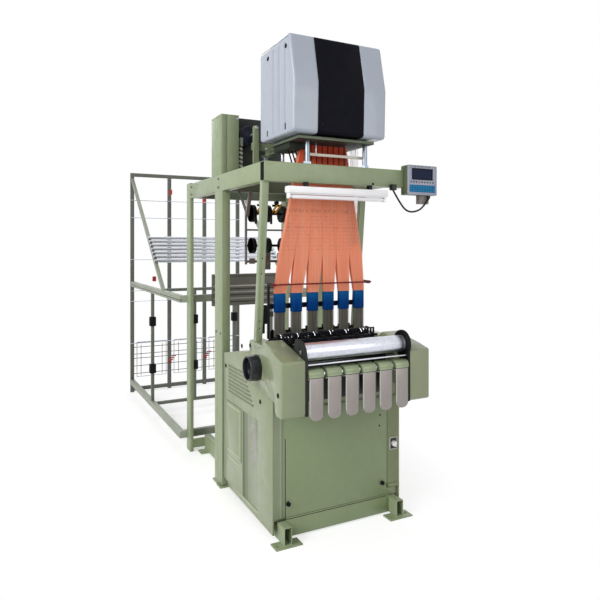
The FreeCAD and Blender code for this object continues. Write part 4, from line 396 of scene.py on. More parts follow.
def coatings(green, shell):
    """Name, colour, roughness, wear, grain, coat, metallic, specular level, edge."""
    body = tint(green, 0.955, 0.935, 0.93)
    return {
        "green": ("Sage green paint", green, 0.42, 0.2, 0.2, 0.15, 0, 0.5, 0.004),
        "green_body": ("Body green paint", body, 0.36, 0.2, 0.2, 0.3, 0, 0.5, 0.009),
        "shell": ("Pale grey shell", shell, 0.34, 0.12, 0.2, 0.4, 0, 0.5, 0.016),
        "front": ("Front panel paint", tint(green, 0.90, 0.93, 0.87), 0.4, 0.2, 0.2, 0.2),
        "strip": ("Front strip paint", tint(green, 0.83, 0.82, 0.74), 0.42, 0.3, 0.2, 0.1),
        "cabinet": ("Drive cabinet paint", green, 0.42, 0.3, 0.2, 0.1),
        # painted highlight: a lighter green for the rims round the door and the recess
        "green_painted_highlight": ("Bright edge paint as painted highlight", (0.68, 0.73, 0.57), 0.35, 0.15, 0.2, 0.3),
        "green_deep": ("Shaded green paint", tint(green, 0.62, 0.62, 0.62), 0.5, 0.4, 0.25),
        "green_grey": ("Grey green creel paint", (0.37, 0.385, 0.35), 0.5, 0.45, 0.25),
        "creel_pale": ("Pale creel rail", (0.60, 0.63, 0.56), 0.45, 0.35, 0.2),
        "creel_middle": ("Creel middle frame", (0.40, 0.42, 0.38), 0.5, 0.4, 0.25),
        "base": ("Olive grey base", (0.40, 0.44, 0.35), 0.5, 0.4, 0.25),
        "under": ("Hoist under frame", (0.19, 0.21, 0.18), 0.6, 0.4, 0.3, 0, 0, 0.15),
        "black": ("Black moulding", BLACK, 0.5, 0.5, 0.35, 0, 0, 0.15),
        "navy": ("Navy black hand wheel", (0.05, 0.055, 0.09), 0.35, 0.4, 0.3, 0.2, 0, 0.4),
        "bracket": ("Dark bracket paint", (0.14, 0.15, 0.14), 0.5, 0.4, 0.3, 0, 0, 0.2),
        "bed": ("Oily black bed", (0.04, 0.04, 0.045), 0.6, 0.5, 0.4, 0, 0, 0.12),
        "rubber": ("Black rubber", (0.045, 0.045, 0.05), 0.6, 0.4, 0.5, 0, 0, 0.25),
        "discs": ("Black feeder discs", (0.04, 0.04, 0.05), 0.45, 0.4, 0.3, 0, 0, 0.2),
        "seam": ("Dark gap", (0.03, 0.03, 0.03), 0.7, 0.3, 0.3, 0, 0, 0.1),
        "graphite": ("Graphite panel", (0.035, 0.038, 0.075), 0.5, 0.3, 0.3, 0, 0, 0.07),
        "bars": ("Comb and tie bars", BLACK, 0.5, 0.4, 0.3, 0, 0, 0.3),
        "motor": ("Motor enamel", (0.085, 0.085, 0.17), 0.4, 0.5, 0.3, 0.1, 0, 0.4),
        "chute": ("Warm grey chute", (0.62, 0.59, 0.575), 0.34, 0.3, 0.15, 0.1, 0.25),
        "rack": ("Grey brown rack", (0.40, 0.39, 0.36), 0.5, 0.5, 0.3, 0, 0.2),
        "plug": ("Warm grey plug", (0.56, 0.53, 0.52), 0.5, 0.4, 0.3),
        "face": ("Control box enamel", (0.37, 0.41, 0.30), 0.4, 0.3, 0.2, 0.1),
        "screen": ("Display", (0.09, 0.13, 0.235), 0.4, 0.3, 0.1, 0, 0, 0.12),
        "blue": ("Blue keypad", (0.02, 0.33, 0.58), 0.4, 0.3, 0.2, 0, 0, 0.2),
        "key": ("Key caps", (0.12, 0.52, 0.66), 0.4, 0.3, 0.2, 0, 0, 0.2),
        "lamp_dot": ("Small lamps", (0.13, 0.18, 0.18), 0.3, 0.3, 0.2),
        "white": ("White enamel", (0.99, 0.985, 0.995), 0.35, 0.08, 0.15, 0.2),
        "cream": ("Cream bar", (0.93, 0.90, 0.84), 0.4, 0.2, 0.2),
        "yellow": ("Yellow arms", (0.85, 0.62, 0.08), 0.4, 0.4, 0.3),
        "red": ("Red plastic", (0.66, 0.10, 0.10), 0.4, 0.4, 0.3),
        "maroon": ("Dark red cradle", (0.40, 0.13, 0.09), 0.6, 0.3, 0.2, 0, 0, 0.15),
    }


MATS = {}


def make_materials(finish):
    make_groups()
    green = tuple(finish.green)
    zones = zone_colours(green)
    for key, row in coatings(green, tuple(finish.shell)).items():
        edge = row[8] if len(row) > 8 else 0.0
        MATS[key] = coated(*row[:8], zones=zones.get(key, ()), edge=edge)
    for key, row in {
        "zinc": ("Bright plated steel", (0.80, 0.81, 0.84), 0.24, 0.15),
        "roller": ("Ground roller steel", (0.88, 0.89, 0.93), 0.30, 0.25),
        "dark_steel": ("Blackened steel", (0.16, 0.16, 0.18), 0.42, 0.3),
        "grey_steel": ("Worn grey steel", (0.47, 0.46, 0.45), 0.45, 0.3, 0.6),
        "leg": ("Plated leg", (0.56, 0.60, 0.64), 0.28, 0.15),
    }.items():
        MATS[key] = metal(*row)
    MATS["cords"] = threads(
        "Salmon harness cords",
        tuple(finish.cords),
        (1.0, 0.62, 0.48),
        rows=[(1.952, 1.966, 0.4), (1.845, 1.856, 0.25)],
        # painted shade: darker towards the top, under the head
        deep=(2.0, 2.33, (0.93, 0.44, 0.30)),
        knots=0.28,
    )
    MATS["cord_core"] = threads(
        "Harness core shade",
        (1.0, 0.72, 0.60),
        (0.98, 0.58, 0.45),
        0.85,
        90.0,
        # painted shade: darker towards the top, under the head
        deep=(2.15, 2.36, (0.80, 0.34, 0.24)),
    )
    MATS["sleeve"] = threads(
        "Blue spring sleeve",
        (0.0, 0.28, 0.56),
        (0.0, 0.19, 0.44),
        0.4,
        220.0,
        level=0.06,
        deep=(1.36, 1.43, (0.0, 0.33, 0.56)),
    )
    MATS["white_cords"] = threads("Undyed cords", (0.86, 0.82, 0.78), (0.62, 0.50, 0.44))
    MATS["heddles"] = threads("Steel heddle wires", (0.56, 0.55, 0.50), (0.26, 0.25, 0.22), 0.45, 260.0)
    hose = ((0.86, 0.90, 0.85), (0.27, 0.32, 0.24))
    MATS["conduit"] = spiral("Spiral conduit", *hose, centre=(-0.298, 0.5), pitch=0.0315)


CHUTES = " ".join("chute_%d" % i for i in range(1, 7))
NODE_MATS = {
    "green_body": "side_cover_left side_cover_right arm_cover_left arm_cover_right base_housing",
    "front": "front_panel",
    "navy": "hand_knob",
    "bracket": "roller_bracket_left",
    "black": "roller_bracket_right panel_latch_left panel_latch_right",
    "white": "main_switch_knob lamp",
    "strip": "switch_strip",
    "zinc": "guide_rod creel_bars",
    "leg": "levelling_legs",
    "dark_steel": "reed_sley weft_needles",
    "grey_steel": "feeder_frame",
    "rack": "plate_rack",
    "roller": "takeoff_roller",
    "chute": CHUTES,
    "bed": "weaving_bed",
    "bars": "heddle_bars",
    "motor": "drive_motor",
    "cabinet": "drive_cabinet",
    "base": "jacquard_base",
    "green_deep": "cross_beams",
    "green_grey": "creel_rear_frame",
    "creel_pale": "creel_rails",
    "creel_middle": "creel_middle_frame",
    "cords": "harness",
    "sleeve": "spring_sleeves",
    "shell": " ".join(SHELL_SIDES),
    "graphite": "jacquard_centre_panel",
    "conduit": "conduit",
    "face": "control_box",
    "rubber": "control_cable",
    "plug": "cable_fittings",
    "discs": "feeder_wheels_upper feeder_wheels_lower",
}
MAT_OF = {node: key for key, nodes in NODE_MATS.items() for node in nodes.split()}


# ---- modelling helpers
def deselect():
    if bpy.context.object and bpy.context.object.mode != "OBJECT":
        bpy.ops.object.mode_set(mode="OBJECT")
    bpy.ops.object.select_all(action="DESELECT")


def activate(obj):
    deselect()
    obj.select_set(True)
    bpy.context.view_layer.objects.active = obj
    return obj


def settle(obj):
    """Place, turn and scale go into the mesh."""
    activate(obj)
    bpy.ops.object.transform_apply(location=True, rotation=True, scale=True)
    return obj


def apply_modifiers(obj):
    activate(obj)
    for modifier in list(obj.modifiers):
        bpy.ops.object.modifier_apply(modifier=modifier.name)
    return obj


def bevel(obj, width, segments=2, angle=30):
    if width:
        modifier = obj.modifiers.new("Rounds", "BEVEL")
        modifier.width = width
        modifier.segments = segments
        modifier.limit_method = "ANGLE"
        modifier.angle_limit = math.radians(angle)
        apply_modifiers(obj)
    return obj


def block(low, high, width=0.0005, segments=1):
    """A box between two corners with rounded edges."""
    low, high = Vector(low), Vector(high)
    deselect()
    bpy.ops.mesh.primitive_cube_add(size=1, location=(low + high) / 2)
    obj = bpy.context.object
    obj.scale = high - low
    return bevel(settle(obj), width, segments)


def blocks(rows, x=0.0, segments=1):
    """Boxes given by both corners and the rounding, moved along X."""
    made = []
    for low, high, width in rows:
        made.append(block((x + low[0], *low[1:]), (x + high[0], *high[1:]), width, segments))
    return made


TURNS = {"X": (0, math.pi / 2, 0), "Y": (math.pi / 2, 0, 0), "Z": (0, 0, 0)}


def bar(axis, centre, length, radius, sides=20, width=0.0):
    deselect()
    bpy.ops.mesh.primitive_cylinder_add(
        vertices=sides, radius=radius, depth=length, location=centre, rotation=TURNS[axis]
    )
    return bevel(settle(bpy.context.object), width)


def repeated(obj, rows):
    """Rows of one piece, each with its count and its step."""
    for count, step in rows:
        array = obj.modifiers.new("Row", "ARRAY")
        array.count = count
        array.use_relative_offset = False
        array.use_constant_offset = True
        array.constant_offset_displace = step
    return apply_modifiers(obj)


def shade(obj, angle=35):
    activate(obj)
    bpy.ops.object.shade_smooth_by_angle(angle=math.radians(angle))
    return obj


def join(name, pieces):
    deselect()
    for piece in pieces:
        piece.select_set(True)
    bpy.context.view_layer.objects.active = pieces[0]
    if len(pieces) > 1:
        bpy.ops.object.join()
    obj = bpy.context.object
    obj.name = name
    return settle(obj)


def copy_of(obj, shift=(0, 0, 0), name="copy"):
    """A second piece with a mesh of its own."""
    twin = bpy.data.objects.new(name, obj.data.copy())
    bpy.context.collection.objects.link(twin)
    twin.data.transform(Matrix.Translation(Vector(shift)))
    return twin


def turned(obj, degrees, axis, centre):
    """Turns a mesh about a line through the centre."""
    centre = Vector(centre)
    turn = Matrix.Rotation(math.radians(degrees), 4, axis)
    obj.data.transform(Matrix.Translation(centre) @ turn @ Matrix.Translation(-centre))
    return obj


def aimed(obj, point, direction):
    """Moves a mesh from the origin to the point, with its Z along the direction."""
    turn = Vector(direction).to_track_quat("Z", "Y").to_matrix().to_4x4()
    obj.data.transform(Matrix.Translation(Vector(point)) @ turn)
    return obj


def dress(obj, material, body=ROOT, replaces=()):
    obj.data.materials.clear()
    obj.data.materials.append(MATS[material])
    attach(obj, body)
    if replaces:
        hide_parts(*replaces)
    return obj


def finish_set(name, pieces, material, body=ROOT, replaces=()):
    return dress(shade(join(name, pieces)), material, body, replaces)


def choose(obj, kind, test):
    """Edit mode, with the vertices or faces chosen that pass the test."""
    bpy.ops.object.mode_set(mode="EDIT")
    bpy.ops.mesh.select_mode(type=kind)
    bpy.ops.mesh.select_all(action="DESELECT")
    bpy.ops.object.mode_set(mode="OBJECT")
    for element in obj.data.vertices if kind == "VERT" else obj.data.polygons:
        element.select = test(element)
    bpy.ops.object.mode_set(mode="EDIT")


def socket_screw(radius, height):
    """A cap screw with its socket, standing on the origin along Z."""
    screw = bar("Z", (0, 0, height / 2), height, radius, 14)
    choose(screw, "FACE", lambda face: face.normal.z > 0.9)
    bpy.ops.mesh.inset(thickness=radius * 0.45)
    bpy.ops.mesh.extrude_region_move(TRANSFORM_OT_translate={"value": (0, 0, -height * 0.6)})
    bpy.ops.object.mode_set(mode="OBJECT")
    return bevel(screw, radius * 0.14, 1, 50)


def scatter(name, proto, spots, material, body=ROOT):
    """Copies of one piece at (point, direction that its Z takes)."""
    twins = [aimed(copy_of(proto), point, direction) for point, direction in spots]
    bpy.data.objects.remove(proto)
    return finish_set(name, twins, material, body)


def facing(direction, points):
    return [(point, direction) for point in points]


def round_curve(name, points, radius, sides, steps):
    """A smooth curve near the points, given a round section and closed ends."""
    curve = bpy.data.curves.new(name, "CURVE")
    curve.dimensions = "3D"
    curve.bevel_depth = radius
    curve.bevel_resolution = sides
    curve.resolution_u = steps
    curve.use_fill_caps = True
    spline = curve.splines.new("NURBS")
    spline.points.add(len(points) - 1)
    for point, place in zip(spline.points, points):
        point.co = (place[0], place[1], place[2], 1)
    spline.order_u = 3
    spline.use_endpoint_u = True
    obj = bpy.data.objects.new(name, curve)
    bpy.context.collection.objects.link(obj)
    return obj


def wire(points, radius, sides=1, x=0.0):
    """A bent wire through the points, moved along X, as a mesh."""
    places = [(x + point[0], point[1], point[2]) for point in points]
    activate(round_curve("wire", places, radius, sides, 3))
    bpy.ops.object.convert(target="MESH")
    return bpy.context.object


def on_shell_rim(point, side):
    """Whether a point lies on the outline of a head shell's outer face."""
    outline = point.z < 2.4445 or point.z > 2.986 or point.y < -0.335 or point.y > 0.066
    return abs(point.x - side) < 0.0005 and outline


def round_rim(obj, width, side):
    """Rounds the outline of a head shell's outer face, apart from the rear edge."""
    activate(obj)
    bpy.ops.object.mode_set(mode="EDIT")
    bpy.ops.mesh.select_mode(type="EDGE")
    bpy.ops.mesh.select_all(action="DESELECT")
    bpy.ops.mesh.edges_select_sharp(sharpness=math.radians(50))
    bpy.ops.object.mode_set(mode="OBJECT")
    mesh = obj.data
    kept = []
    for edge in mesh.edges:
        ends = [mesh.vertices[k].co for k in edge.vertices]
        on_rim = all(on_shell_rim(end, side) for end in ends)
        if edge.select and on_rim and min(end.y for end in ends) < 0.08:
            kept.append(edge)
    for part in (mesh.vertices, mesh.edges, mesh.polygons):
        for element in part:
            element.select = False
    for edge in kept:
        edge.select = True
        for k in edge.vertices:
            mesh.vertices[k].select = True
    bpy.ops.object.mode_set(mode="EDIT")
    bpy.ops.mesh.bevel(offset=width, segments=4, affect="EDGES", clamp_overlap=False)
    bpy.ops.object.mode_set(mode="OBJECT")
    shade(obj, 40)
    modifier = obj.modifiers.new("Flat faces keep their normals", "WEIGHTED_NORMAL")
    modifier.keep_sharp = True
    return apply_modifiers(obj)


def rounded(node, width):
    """The CAD node's own form, merged and given rounded edges, stands for it."""
    obj = activate(copy_of(frame["nodes"][node], name=node + "_form"))
    bpy.ops.object.mode_set(mode="EDIT")
    bpy.ops.mesh.select_all(action="SELECT")
    bpy.ops.mesh.remove_doubles(threshold=0.00002)
    bpy.ops.mesh.dissolve_limited(angle_limit=math.radians(0.5))
    bpy.ops.object.mode_set(mode="OBJECT")
    if node in SHELL_SIDES:
        round_rim(obj, width, SHELL_SIDES[node])
    else:
        shade(bevel(obj, width))
    return dress(obj, MAT_OF.get(node, "green"), BODY_OF[node], (node,))


# ---- settings
class LoomFinish(bpy.types.PropertyGroup):
    green: bpy.props.FloatVectorProperty(
        name="Paint",
        description="Green paint of frame and covers",
        default=(0.57, 0.62, 0.485),
        subtype="COLOR",
    )
    shell: bpy.props.FloatVectorProperty(
        name="Shell", description="Pale grey of the head", default=(0.655, 0.685, 0.735), subtype="COLOR"
    )
    cords: bpy.props.FloatVectorProperty(
        name="Cords", description="Salmon of the harness cords", default=(1.0, 0.74, 0.61), subtype="COLOR"
    )


class LoomSizes(bpy.types.PropertyGroup):
    cord_radius: bpy.props.FloatProperty(
        name="Cord radius", description="Radius of one harness cord", default=0.0009, unit="LENGTH"
    )
    cords_wide: bpy.props.IntProperty(
        name="Cords across", description="Cords in a row of one tongue", default=32
    )
    cords_deep: bpy.props.IntProperty(name="Rows", description="Rows of cords in one tongue", default=5)
    edge_round: bpy.props.FloatProperty(
        name="Edge rounding",
        description="Share of the usual rounding of painted edges",
        default=1.0,
        min=0.2,
        max=2.0,
    )


# ---- operators
class LOOM_OT_finishes(bpy.types.Operator):
    """Gives every CAD node its finish"""

    bl_idname = "loom.finishes"
    bl_label = "Finishes"

    def execute(self, context):
        make_materials(context.scene.loom_finish)
        for name, obj in frame["nodes"].items():
            obj.data.materials.clear()
            obj.data.materials.append(MATS[MAT_OF.get(name, "green")])
        return {"FINISHED"}


def seen_rays(tree):
    """1 for rays from the camera, also by way of a mirror or glass."""
    path = make(tree, "LightPath", {}).outputs
    seen = calc(tree, path["Is Camera Ray"], path["Is Glossy Ray"], "ADD")
    return calc(tree, seen, path["Is Transmission Ray"], "ADD")


def floor_material():
    """Pale floor that keeps the shadow and fades to pure white away from the loom."""
    material, tree, shader, vector = new_material("Pale floor")
    grit = ramp(tree, noise(tree, vector, 40.0, 3.0), 0.3, 0.7)
    base = mix_colour(tree, grit, linear((0.95, 0.95, 0.95)), linear((0.97, 0.97, 0.97)))
    feed(tree, shader, {"Base Color": base, "Roughness": 0.9, "Specular IOR Level": 0.0})
    values = {"Location": (0.05, 3.35, 0), "Scale": (1.0, 0.52, 1.0), "Vector": vector}
    distance = make(tree, "VectorMath", {0: make(tree, "Mapping", values).outputs["Vector"]})
    distance.operation = "LENGTH"
    seen = seen_rays(tree)
    lift = make(tree, "Emission", {"Strength": calc(tree, seen, 0.38)}).outputs[0]
    lifted = make(tree, "AddShader", {0: shader.outputs["BSDF"], 1: lift}).outputs[0]
    white = make(tree, "Emission", {}).outputs[0]
    away = calc(tree, ramp(tree, distance.outputs["Value"], 0.75, 1.5), seen, "MINIMUM")
    mixed = make(tree, "MixShader", {0: away, 1: lifted, 2: white}).outputs[0]
    feed(tree, tree.nodes["Material Output"], {"Surface": mixed})
    return material


class LOOM_OT_stage(bpy.types.Operator):
    """Camera, pale floor and soft studio light"""

    bl_idname = "loom.stage"
    bl_label = "Stage"

    def execute(self, context):
        scene = context.scene
        camera = bpy.data.objects.new("camera", bpy.data.cameras.new("camera"))
        scene.collection.objects.link(camera)
        camera.location = (-1.857, -3.51, 1.742)
        camera.rotation_euler = (math.pi / 2, 0, math.radians(-27.118))
        camera.data.lens = 34.88
        camera.data.shift_x = -0.00115
        camera.data.shift_y = -0.093
        camera.data.clip_end = 100
        scene.camera = camera
        scene.view_settings.view_transform = "Standard"

        bpy.ops.mesh.primitive_plane_add(size=60, location=(0, 8, -0.0005))
        floor = context.object
        floor.name = "floor"
        floor.data.materials.append(floor_material())

        world = bpy.data.worlds.new("Studio")
        scene.world = world
        world.use_nodes = True
        tree = world.node_tree
        strength = ramp(tree, seen_rays(tree), 0.0, 1.0, 0.42, 1.0)
        feed(tree, tree.nodes["Background"], {"Color": (1, 1, 1, 1), "Strength": strength})
        for name, place, aim, power in (
            ("key", (-6.5, -2.0, 4.5), (0, 0.6, 1.2), 350),
            ("fill", (2.5, -7.0, 3.5), (0, 0, 1.2), 95),
            ("back", (1.0, 8.0, 5.5), (0, 2, 1.0), 130),
        ):
            light = bpy.data.lights.new(name, "AREA")
            light.size = 4.0
            light.energy = power
            lamp = bpy.data.objects.new(name, light)
            scene.collection.objects.link(lamp)
            lamp.location = place
            lamp.rotation_euler = (Vector(aim) - Vector(place)).to_track_quat("-Z", "Y").to_euler()
        return {"FINISHED"}


class LOOM_OT_cable(bpy.types.Operator):
    """Hangs the control cable from the box round to the clip under the beam"""

    bl_idname = "loom.cable"
    bl_label = "Control cable"

    def execute(self, context):
        start = Vector(CABLE_START)
        deselect()
        bpy.ops.mesh.primitive_cone_add(
            vertices=24, radius1=0.0068, radius2=0.0098, depth=0.030, location=(0, 0, 0)
        )
        sleeve = context.object
        sleeve.name = "strain_relief"
        aimed(sleeve, start - Vector((0.0068, 0, 0.011)), (26, 0, 42))
        bevel(settle(sleeve), 0.0006, 1, 50)
        dress(shade(sleeve), "rubber")
        # the route's points, in millimetres from the exit
        route = [(0, 0, 0), (-26, 0, -42), (-88, 0, -96), (-182, 4, -106), (-243, 11, -37), (-289, 17, 40)]
        places = [start + Vector(shift) / 1000 for shift in route]
        cable = round_curve("control_cable_flex", places, 0.006, 6, 24)
        dress(cable, "rubber", ROOT, ("control_cable",))
        return {"FINISHED"}


def fan(piece, crown, high, spread):
    """Moves a standing piece's top over and carries it up, so that it fans out between three levels.

    Crown and high are (from x, to x) of the two upper levels' middles, spread their widening.
    """
    choose(activate(piece), "VERT", lambda vertex: vertex.co.z > HARNESS_SPLIT - 0.001)
    rise = HARNESS_TOP - HARNESS_SPLIT
    split_middle = (crown[1], HARNESS_Y, HARNESS_SPLIT)
    top_middle = (high[1], HARNESS_Y, HARNESS_TOP)
    bpy.ops.transform.translate(value=(crown[1] - crown[0], 0, 0))
    bpy.ops.transform.resize(value=(spread[0], 1.2, 1), center_override=split_middle)
    bpy.ops.mesh.extrude_region_move(TRANSFORM_OT_translate={"value": (0, 0, rise)})
    bpy.ops.transform.translate(value=(high[1] - high[0], 0, 0))
    bpy.ops.transform.resize(value=(spread[1], 1.0, 1), center_override=top_middle)
    bpy.ops.mesh.select_all(action="SELECT")
    bpy.ops.mesh.normals_make_consistent(inside=False)
    bpy.ops.object.mode_set(mode="OBJECT")
    return piece


class LOOM_OT_harness(bpy.types.Operator):
    """Fans the harness cords out from the head into one tongue for each sleeve"""

    bl_idname = "loom.harness"
    bl_label = "Harness"

    def execute(self, context):
        sizes = context.scene.loom_sizes
        wide, deep = sizes.cords_wide, sizes.cords_deep
        across = (wide, (TONGUE_WIDTH / (wide - 1), 0, 0))
        cord_rows = (across, (deep, (0.0005, TONGUE_DEPTH / (deep - 1), 0)))
        wire_rows = ((21, (0.00355, 0, 0)), (3, (0.0009, 0.0165, 0)))
        middle = (HARNESS_SPLIT + HARNESS_FOOT) / 2
        tall = HARNESS_SPLIT - HARNESS_FOOT
        y = HARNESS_Y
        tongues, cores, heddles, hearts = [], [], [], []
        for i, x in enumerate(HEADS):
            crown = (x, 0.008 + (i - 2.5) * SPLIT_PITCH)
            high = (crown[1], 0.020 + (i - 2.5) * TOP_PITCH)
            corner = (x - TONGUE_WIDTH / 2, y - TONGUE_DEPTH / 2, middle)
            cord = bar("Z", corner, tall, sizes.cord_radius, 4)
            tongues.append(fan(repeated(cord, cord_rows), crown, high, (1.30, 0.56)))
            core = block((x - 0.0365, y - 0.0125, HARNESS_FOOT), (x + 0.0365, y + 0.0125, HARNESS_SPLIT), 0)
            cores.append(fan(core, crown, high, (1.32, 0.56)))
            heddle = bar("Z", (x - 0.0355, y - 0.0165, 1.2305), 0.1588, 0.0008, 4)
            heddles.append(repeated(heddle, wire_rows))
            hearts.append(block((x - 0.033, y - 0.009, 1.1515), (x + 0.033, y + 0.009, 1.3095), 0.002))
        dress(join("harness_cords", tongues), "cords", ROOT, ("harness",))
        dress(join("harness_cores", cores), "cord_core")
        dress(join("heddle_wires", heddles), "heddles")
        dress(join("heddle_hearts", hearts), "heddles")
        loose = []
        for k in range(9):
            y, foot = -0.17, 0.020 - k * 0.003
            points = [(0, y, 2.386), (0.004, y, 2.05), (0.002, y, 1.86), (foot, y, 1.69)]
            loose.append(wire(points, 0.0009, x=0.232 + k * 0.0072))
        for k in range(6):
            y = -0.187
            points = [(0, y, 2.386), (0.018, y, 2.16), (0.052, y, 1.90), (0.062, y, 1.74)]
            loose.append(wire(points, 0.0008, x=0.155 + k * 0.014))
        dress(join("undyed_cords", loose), "white_cords")
        return {"FINISHED"}


ROUNDS = (
    (0.010, "arm_cover_left arm_cover_right"),
    (0.0012, "side_cover_left side_cover_right"),
    (0.003, "base_housing"),
    (0.0015, "front_panel switch_strip"),
    (0.004, "foot_rail_left foot_rail_right"),
    (0.003, "jacquard_centre_panel"),
    (0.002, "jacquard_base"),
    (0.005, "front_beam side_beam_left side_beam_right column_left column_right"),
    (0.003, "rear_support_left rear_support_right stay_left stay_right"),
    (0.004, "cross_beams control_box"),
    (0.003, "drive_cabinet"),
    (0.002, "drive_motor drive_lever"),
    (0.003, "hand_knob"),
    (0.002, "roller_bracket_left roller_bracket_right"),
    (0.001, "takeoff_roller"),
    (0.0012, "weaving_bed"),
    (0.004, "spring_sleeves"),
    (0.002, "creel_rear_frame creel_middle_frame creel_rails"),
    (0.001, "main_switch_knob"),
    (0.0012, "conduit " + CHUTES),
    (SHELL_ROUND, " ".join(SHELL_SIDES)),
)


class LOOM_OT_forms(bpy.types.Operator):
    """Gives the housings, beams and frames their rounded edges"""

    bl_idname = "loom.forms"
    bl_label = "Rounded forms"

    def execute(self, context):
        share = context.scene.loom_sizes.edge_round
        for width, nodes in ROUNDS:
            for node in nodes.split():
                rounded(node, width * share)
        return {"FINISHED"}


class LOOM_OT_body(bpy.types.Operator):
    """Louvre hoods, door gap, seams, rims in a lighter green as painted highlights, and screws of the loom
    body
    """

    bl_idname = "loom.body"
    bl_label = "Body details"

    def execute(self, context):
        hoods = []
        for i in range(8):
            low = 0.716 + i * 0.025
            front = 0.334 - (0.459 - i * 0.165 / 7)
            hoods.append(block((-0.4585, front, low + 0.0085), (-COVER_FACE, 0.334, low + 0.0115), 0.0012))
        hoods += [copy_of(hood, (0.913, 0, 0)) for hood in hoods]
        finish_set("louvre_hoods", hoods, "green_body")
        # the gap round the door: low and high of Y and Z
        door = ((0.0825, 0.3685, 0.2965, 0.2995), (0.0825, 0.3685, 0.6485, 0.6515))
        door += ((0.0825, 0.0855, 0.2965, 0.6515), (0.3655, 0.3685, 0.2965, 0.6515))
        seams = [block((-0.4554, y, z), (-0.4548, to_y, to_z)) for y, to_y, z, to_z in door]
        seams.append(block((SEAM_X, -0.4126, 0.118), (SEAM_X + 0.004, PANEL_FRONT, 0.59)))
        seams.append(block((-0.443, -0.4126, 0.1115), (0.358, PANEL_FRONT, 0.1155)))
        finish_set("door_seams", seams, "seam")
        # the rims' lighter green is a painted highlight
        rims = []
        for x, y, z, width, tall in (
            (-0.4612, 0.100, 0.316, 0.252, 0.008),
            (-0.4612, 0.100, 0.624, 0.252, 0.008),
            (-0.4612, 0.100, 0.324, 0.008, 0.300),
            (-0.4612, 0.344, 0.324, 0.008, 0.300),
            (-0.4568, 0.084, 0.262, 0.284, 0.009),
            (-0.4568, -0.196, 0.078, 0.272, 0.009),
            (-0.4568, 0.069, 0.087, 0.007, 0.565),
        ):
            rims.append(block((x, y, z), (-COVER_FACE, y + width, z + tall), 0.0016, 2))
        finish_set("cover_rims", rims, "green_painted_highlight")
        spots = []
        for side in (-1, 1):
            for x, y, z in (
                (COVER_FACE, 0.385, 0.885),
                (COVER_FACE, -0.230, 0.777),
                (ARM_FACE, -0.198, 1.121),
                (ARM_FACE, -0.602, 0.906),
                (ARM_FACE, -0.0595, 1.0966),
            ):
                spots.append(((side * x, y, z), (side, 0, 0)))
        scatter("cover_screws", socket_screw(0.0145, 0.0028), spots, "black")
        spots = facing(FRONTWARD, [(0.303, -0.4115, 0.643), (0.298, -0.4115, 0.575)])
        scatter("front_screws", socket_screw(0.006, 0.002), spots, "black")
        return {"FINISHED"}


class LOOM_OT_takeoff(bpy.types.Operator):
    """Bright collars at the ends of the take-off roller"""

    bl_idname = "loom.takeoff"
    bl_label = "Take-off details"

    def execute(self, context):
        collars = [bar("X", (x, *ROLLER_AXIS), 0.006, 0.052, 48, 0.001) for x in (-0.335, 0.335)]
        finish_set("roller_collars", collars, "zinc", "roller")
        return {"FINISHED"}


# of each ribbon: corners from the ribbon's middle, and rounding
BED_BLACK = (
    ((-0.040, -0.222, DECK), (0.040, -0.196, 1.150), 0.0015),
    ((0.044, -0.215, DECK), (0.056, -0.180, 1.186), 0.002),
    ((-0.020, -0.492, FRONT_DECK), (0.016, -0.478, 1.142), 0.0015),
    ((-0.043, -0.190, DECK), (0.040, -0.172, 1.158), 0.002),
    ((-0.046, -0.238, DECK), (-0.030, -0.205, 1.178), 0.003),
    ((0.018, -0.240, DECK), (0.030, -0.215, 1.168), 0.003),
    ((-0.030, -0.452, FRONT_DECK), (0.034, -0.436, 1.140), 0.002),
)
BED_BRIGHT = (
    ((-0.034, -0.155, DECK), (-0.010, -0.135, 1.1425), 0.0006),
    ((0.008, -0.155, DECK), (0.030, -0.135, 1.1425), 0.0006),
)
GUIDE_WIRE = ((0, -0.205, 1.139), (0.003, -0.212, 1.176), (0.009, -0.232, 1.188), (0.013, -0.246, 1.158))
HOOK_WIRE = ((0, -0.470, 1.127), (-0.004, -0.470, 1.150), (-0.012, -0.462, 1.158), (-0.020, -0.445, 1.150))
# behind the ribbons: corners and rounding
BED_REAR = (
    ((-0.338, -0.119, DECK), (0.338, -0.112, 1.188), 0.002),
    ((-0.416, -0.129, 1.235), (-0.362, -0.1145, 1.356), 0.004),
    ((-0.404, -0.128, 1.175), (-0.378, -0.1155, 1.24), 0.004),
    ((0.333, -0.165, 1.141), (0.349, -0.120, 1.181), 0.003),
    ((0.340, -0.165, 1.141), (0.356, -0.120, 1.160), 0.003),
)


class LOOM_OT_weaving(bpy.types.Operator):
    """Thread guides, wires and small fittings on the weaving bed"""

    bl_idname = "loom.weaving"
    bl_label = "Weaving zone"

    def execute(self, context):
        bright, black = [], []
        for x in HEADS:
            bright += [wire(GUIDE_WIRE, 0.0016, x=x - 0.036 + k * 0.024) for k in range(4)]
            bright += [wire(HOOK_WIRE, 0.0014, x=x - 0.024 + k * 0.020) for k in range(3)]
            bright.append(bar("Y", (x + 0.050, -0.222, 1.176), 0.016, 0.0035, 10, 0.0006))
            bright.append(bar("Z", (x + 0.030, -0.485, 1.137), 0.018, 0.004, 10, 0.0006))
            bright += blocks(BED_BRIGHT, x)
            black += blocks(BED_BLACK, x)
        black += blocks(BED_REAR)
        for k in range(17):
            x = -0.330 + k * 0.041
            top = 1.196 + 0.011 * math.sin(k * 2.3)
            black.append(block((x, -0.121, 1.16), (x + 0.016, -0.110, top), 0.003))
        finish_set("bed_wires", bright, "zinc")
        finish_set("bed_blocks", black, "black")
        # a screw on each side of a ribbon, apart from the two that would miss the bed
        places = [x + side for x in HEADS for side in (-0.052, 0.052)][1:-1]
        spots = facing((0, -0.42, 1), [(x, -0.488, 1.1185) for x in places])
        scatter("bed_screws", socket_screw(0.0035, 0.002), spots, "zinc")
        return {"FINISHED"}


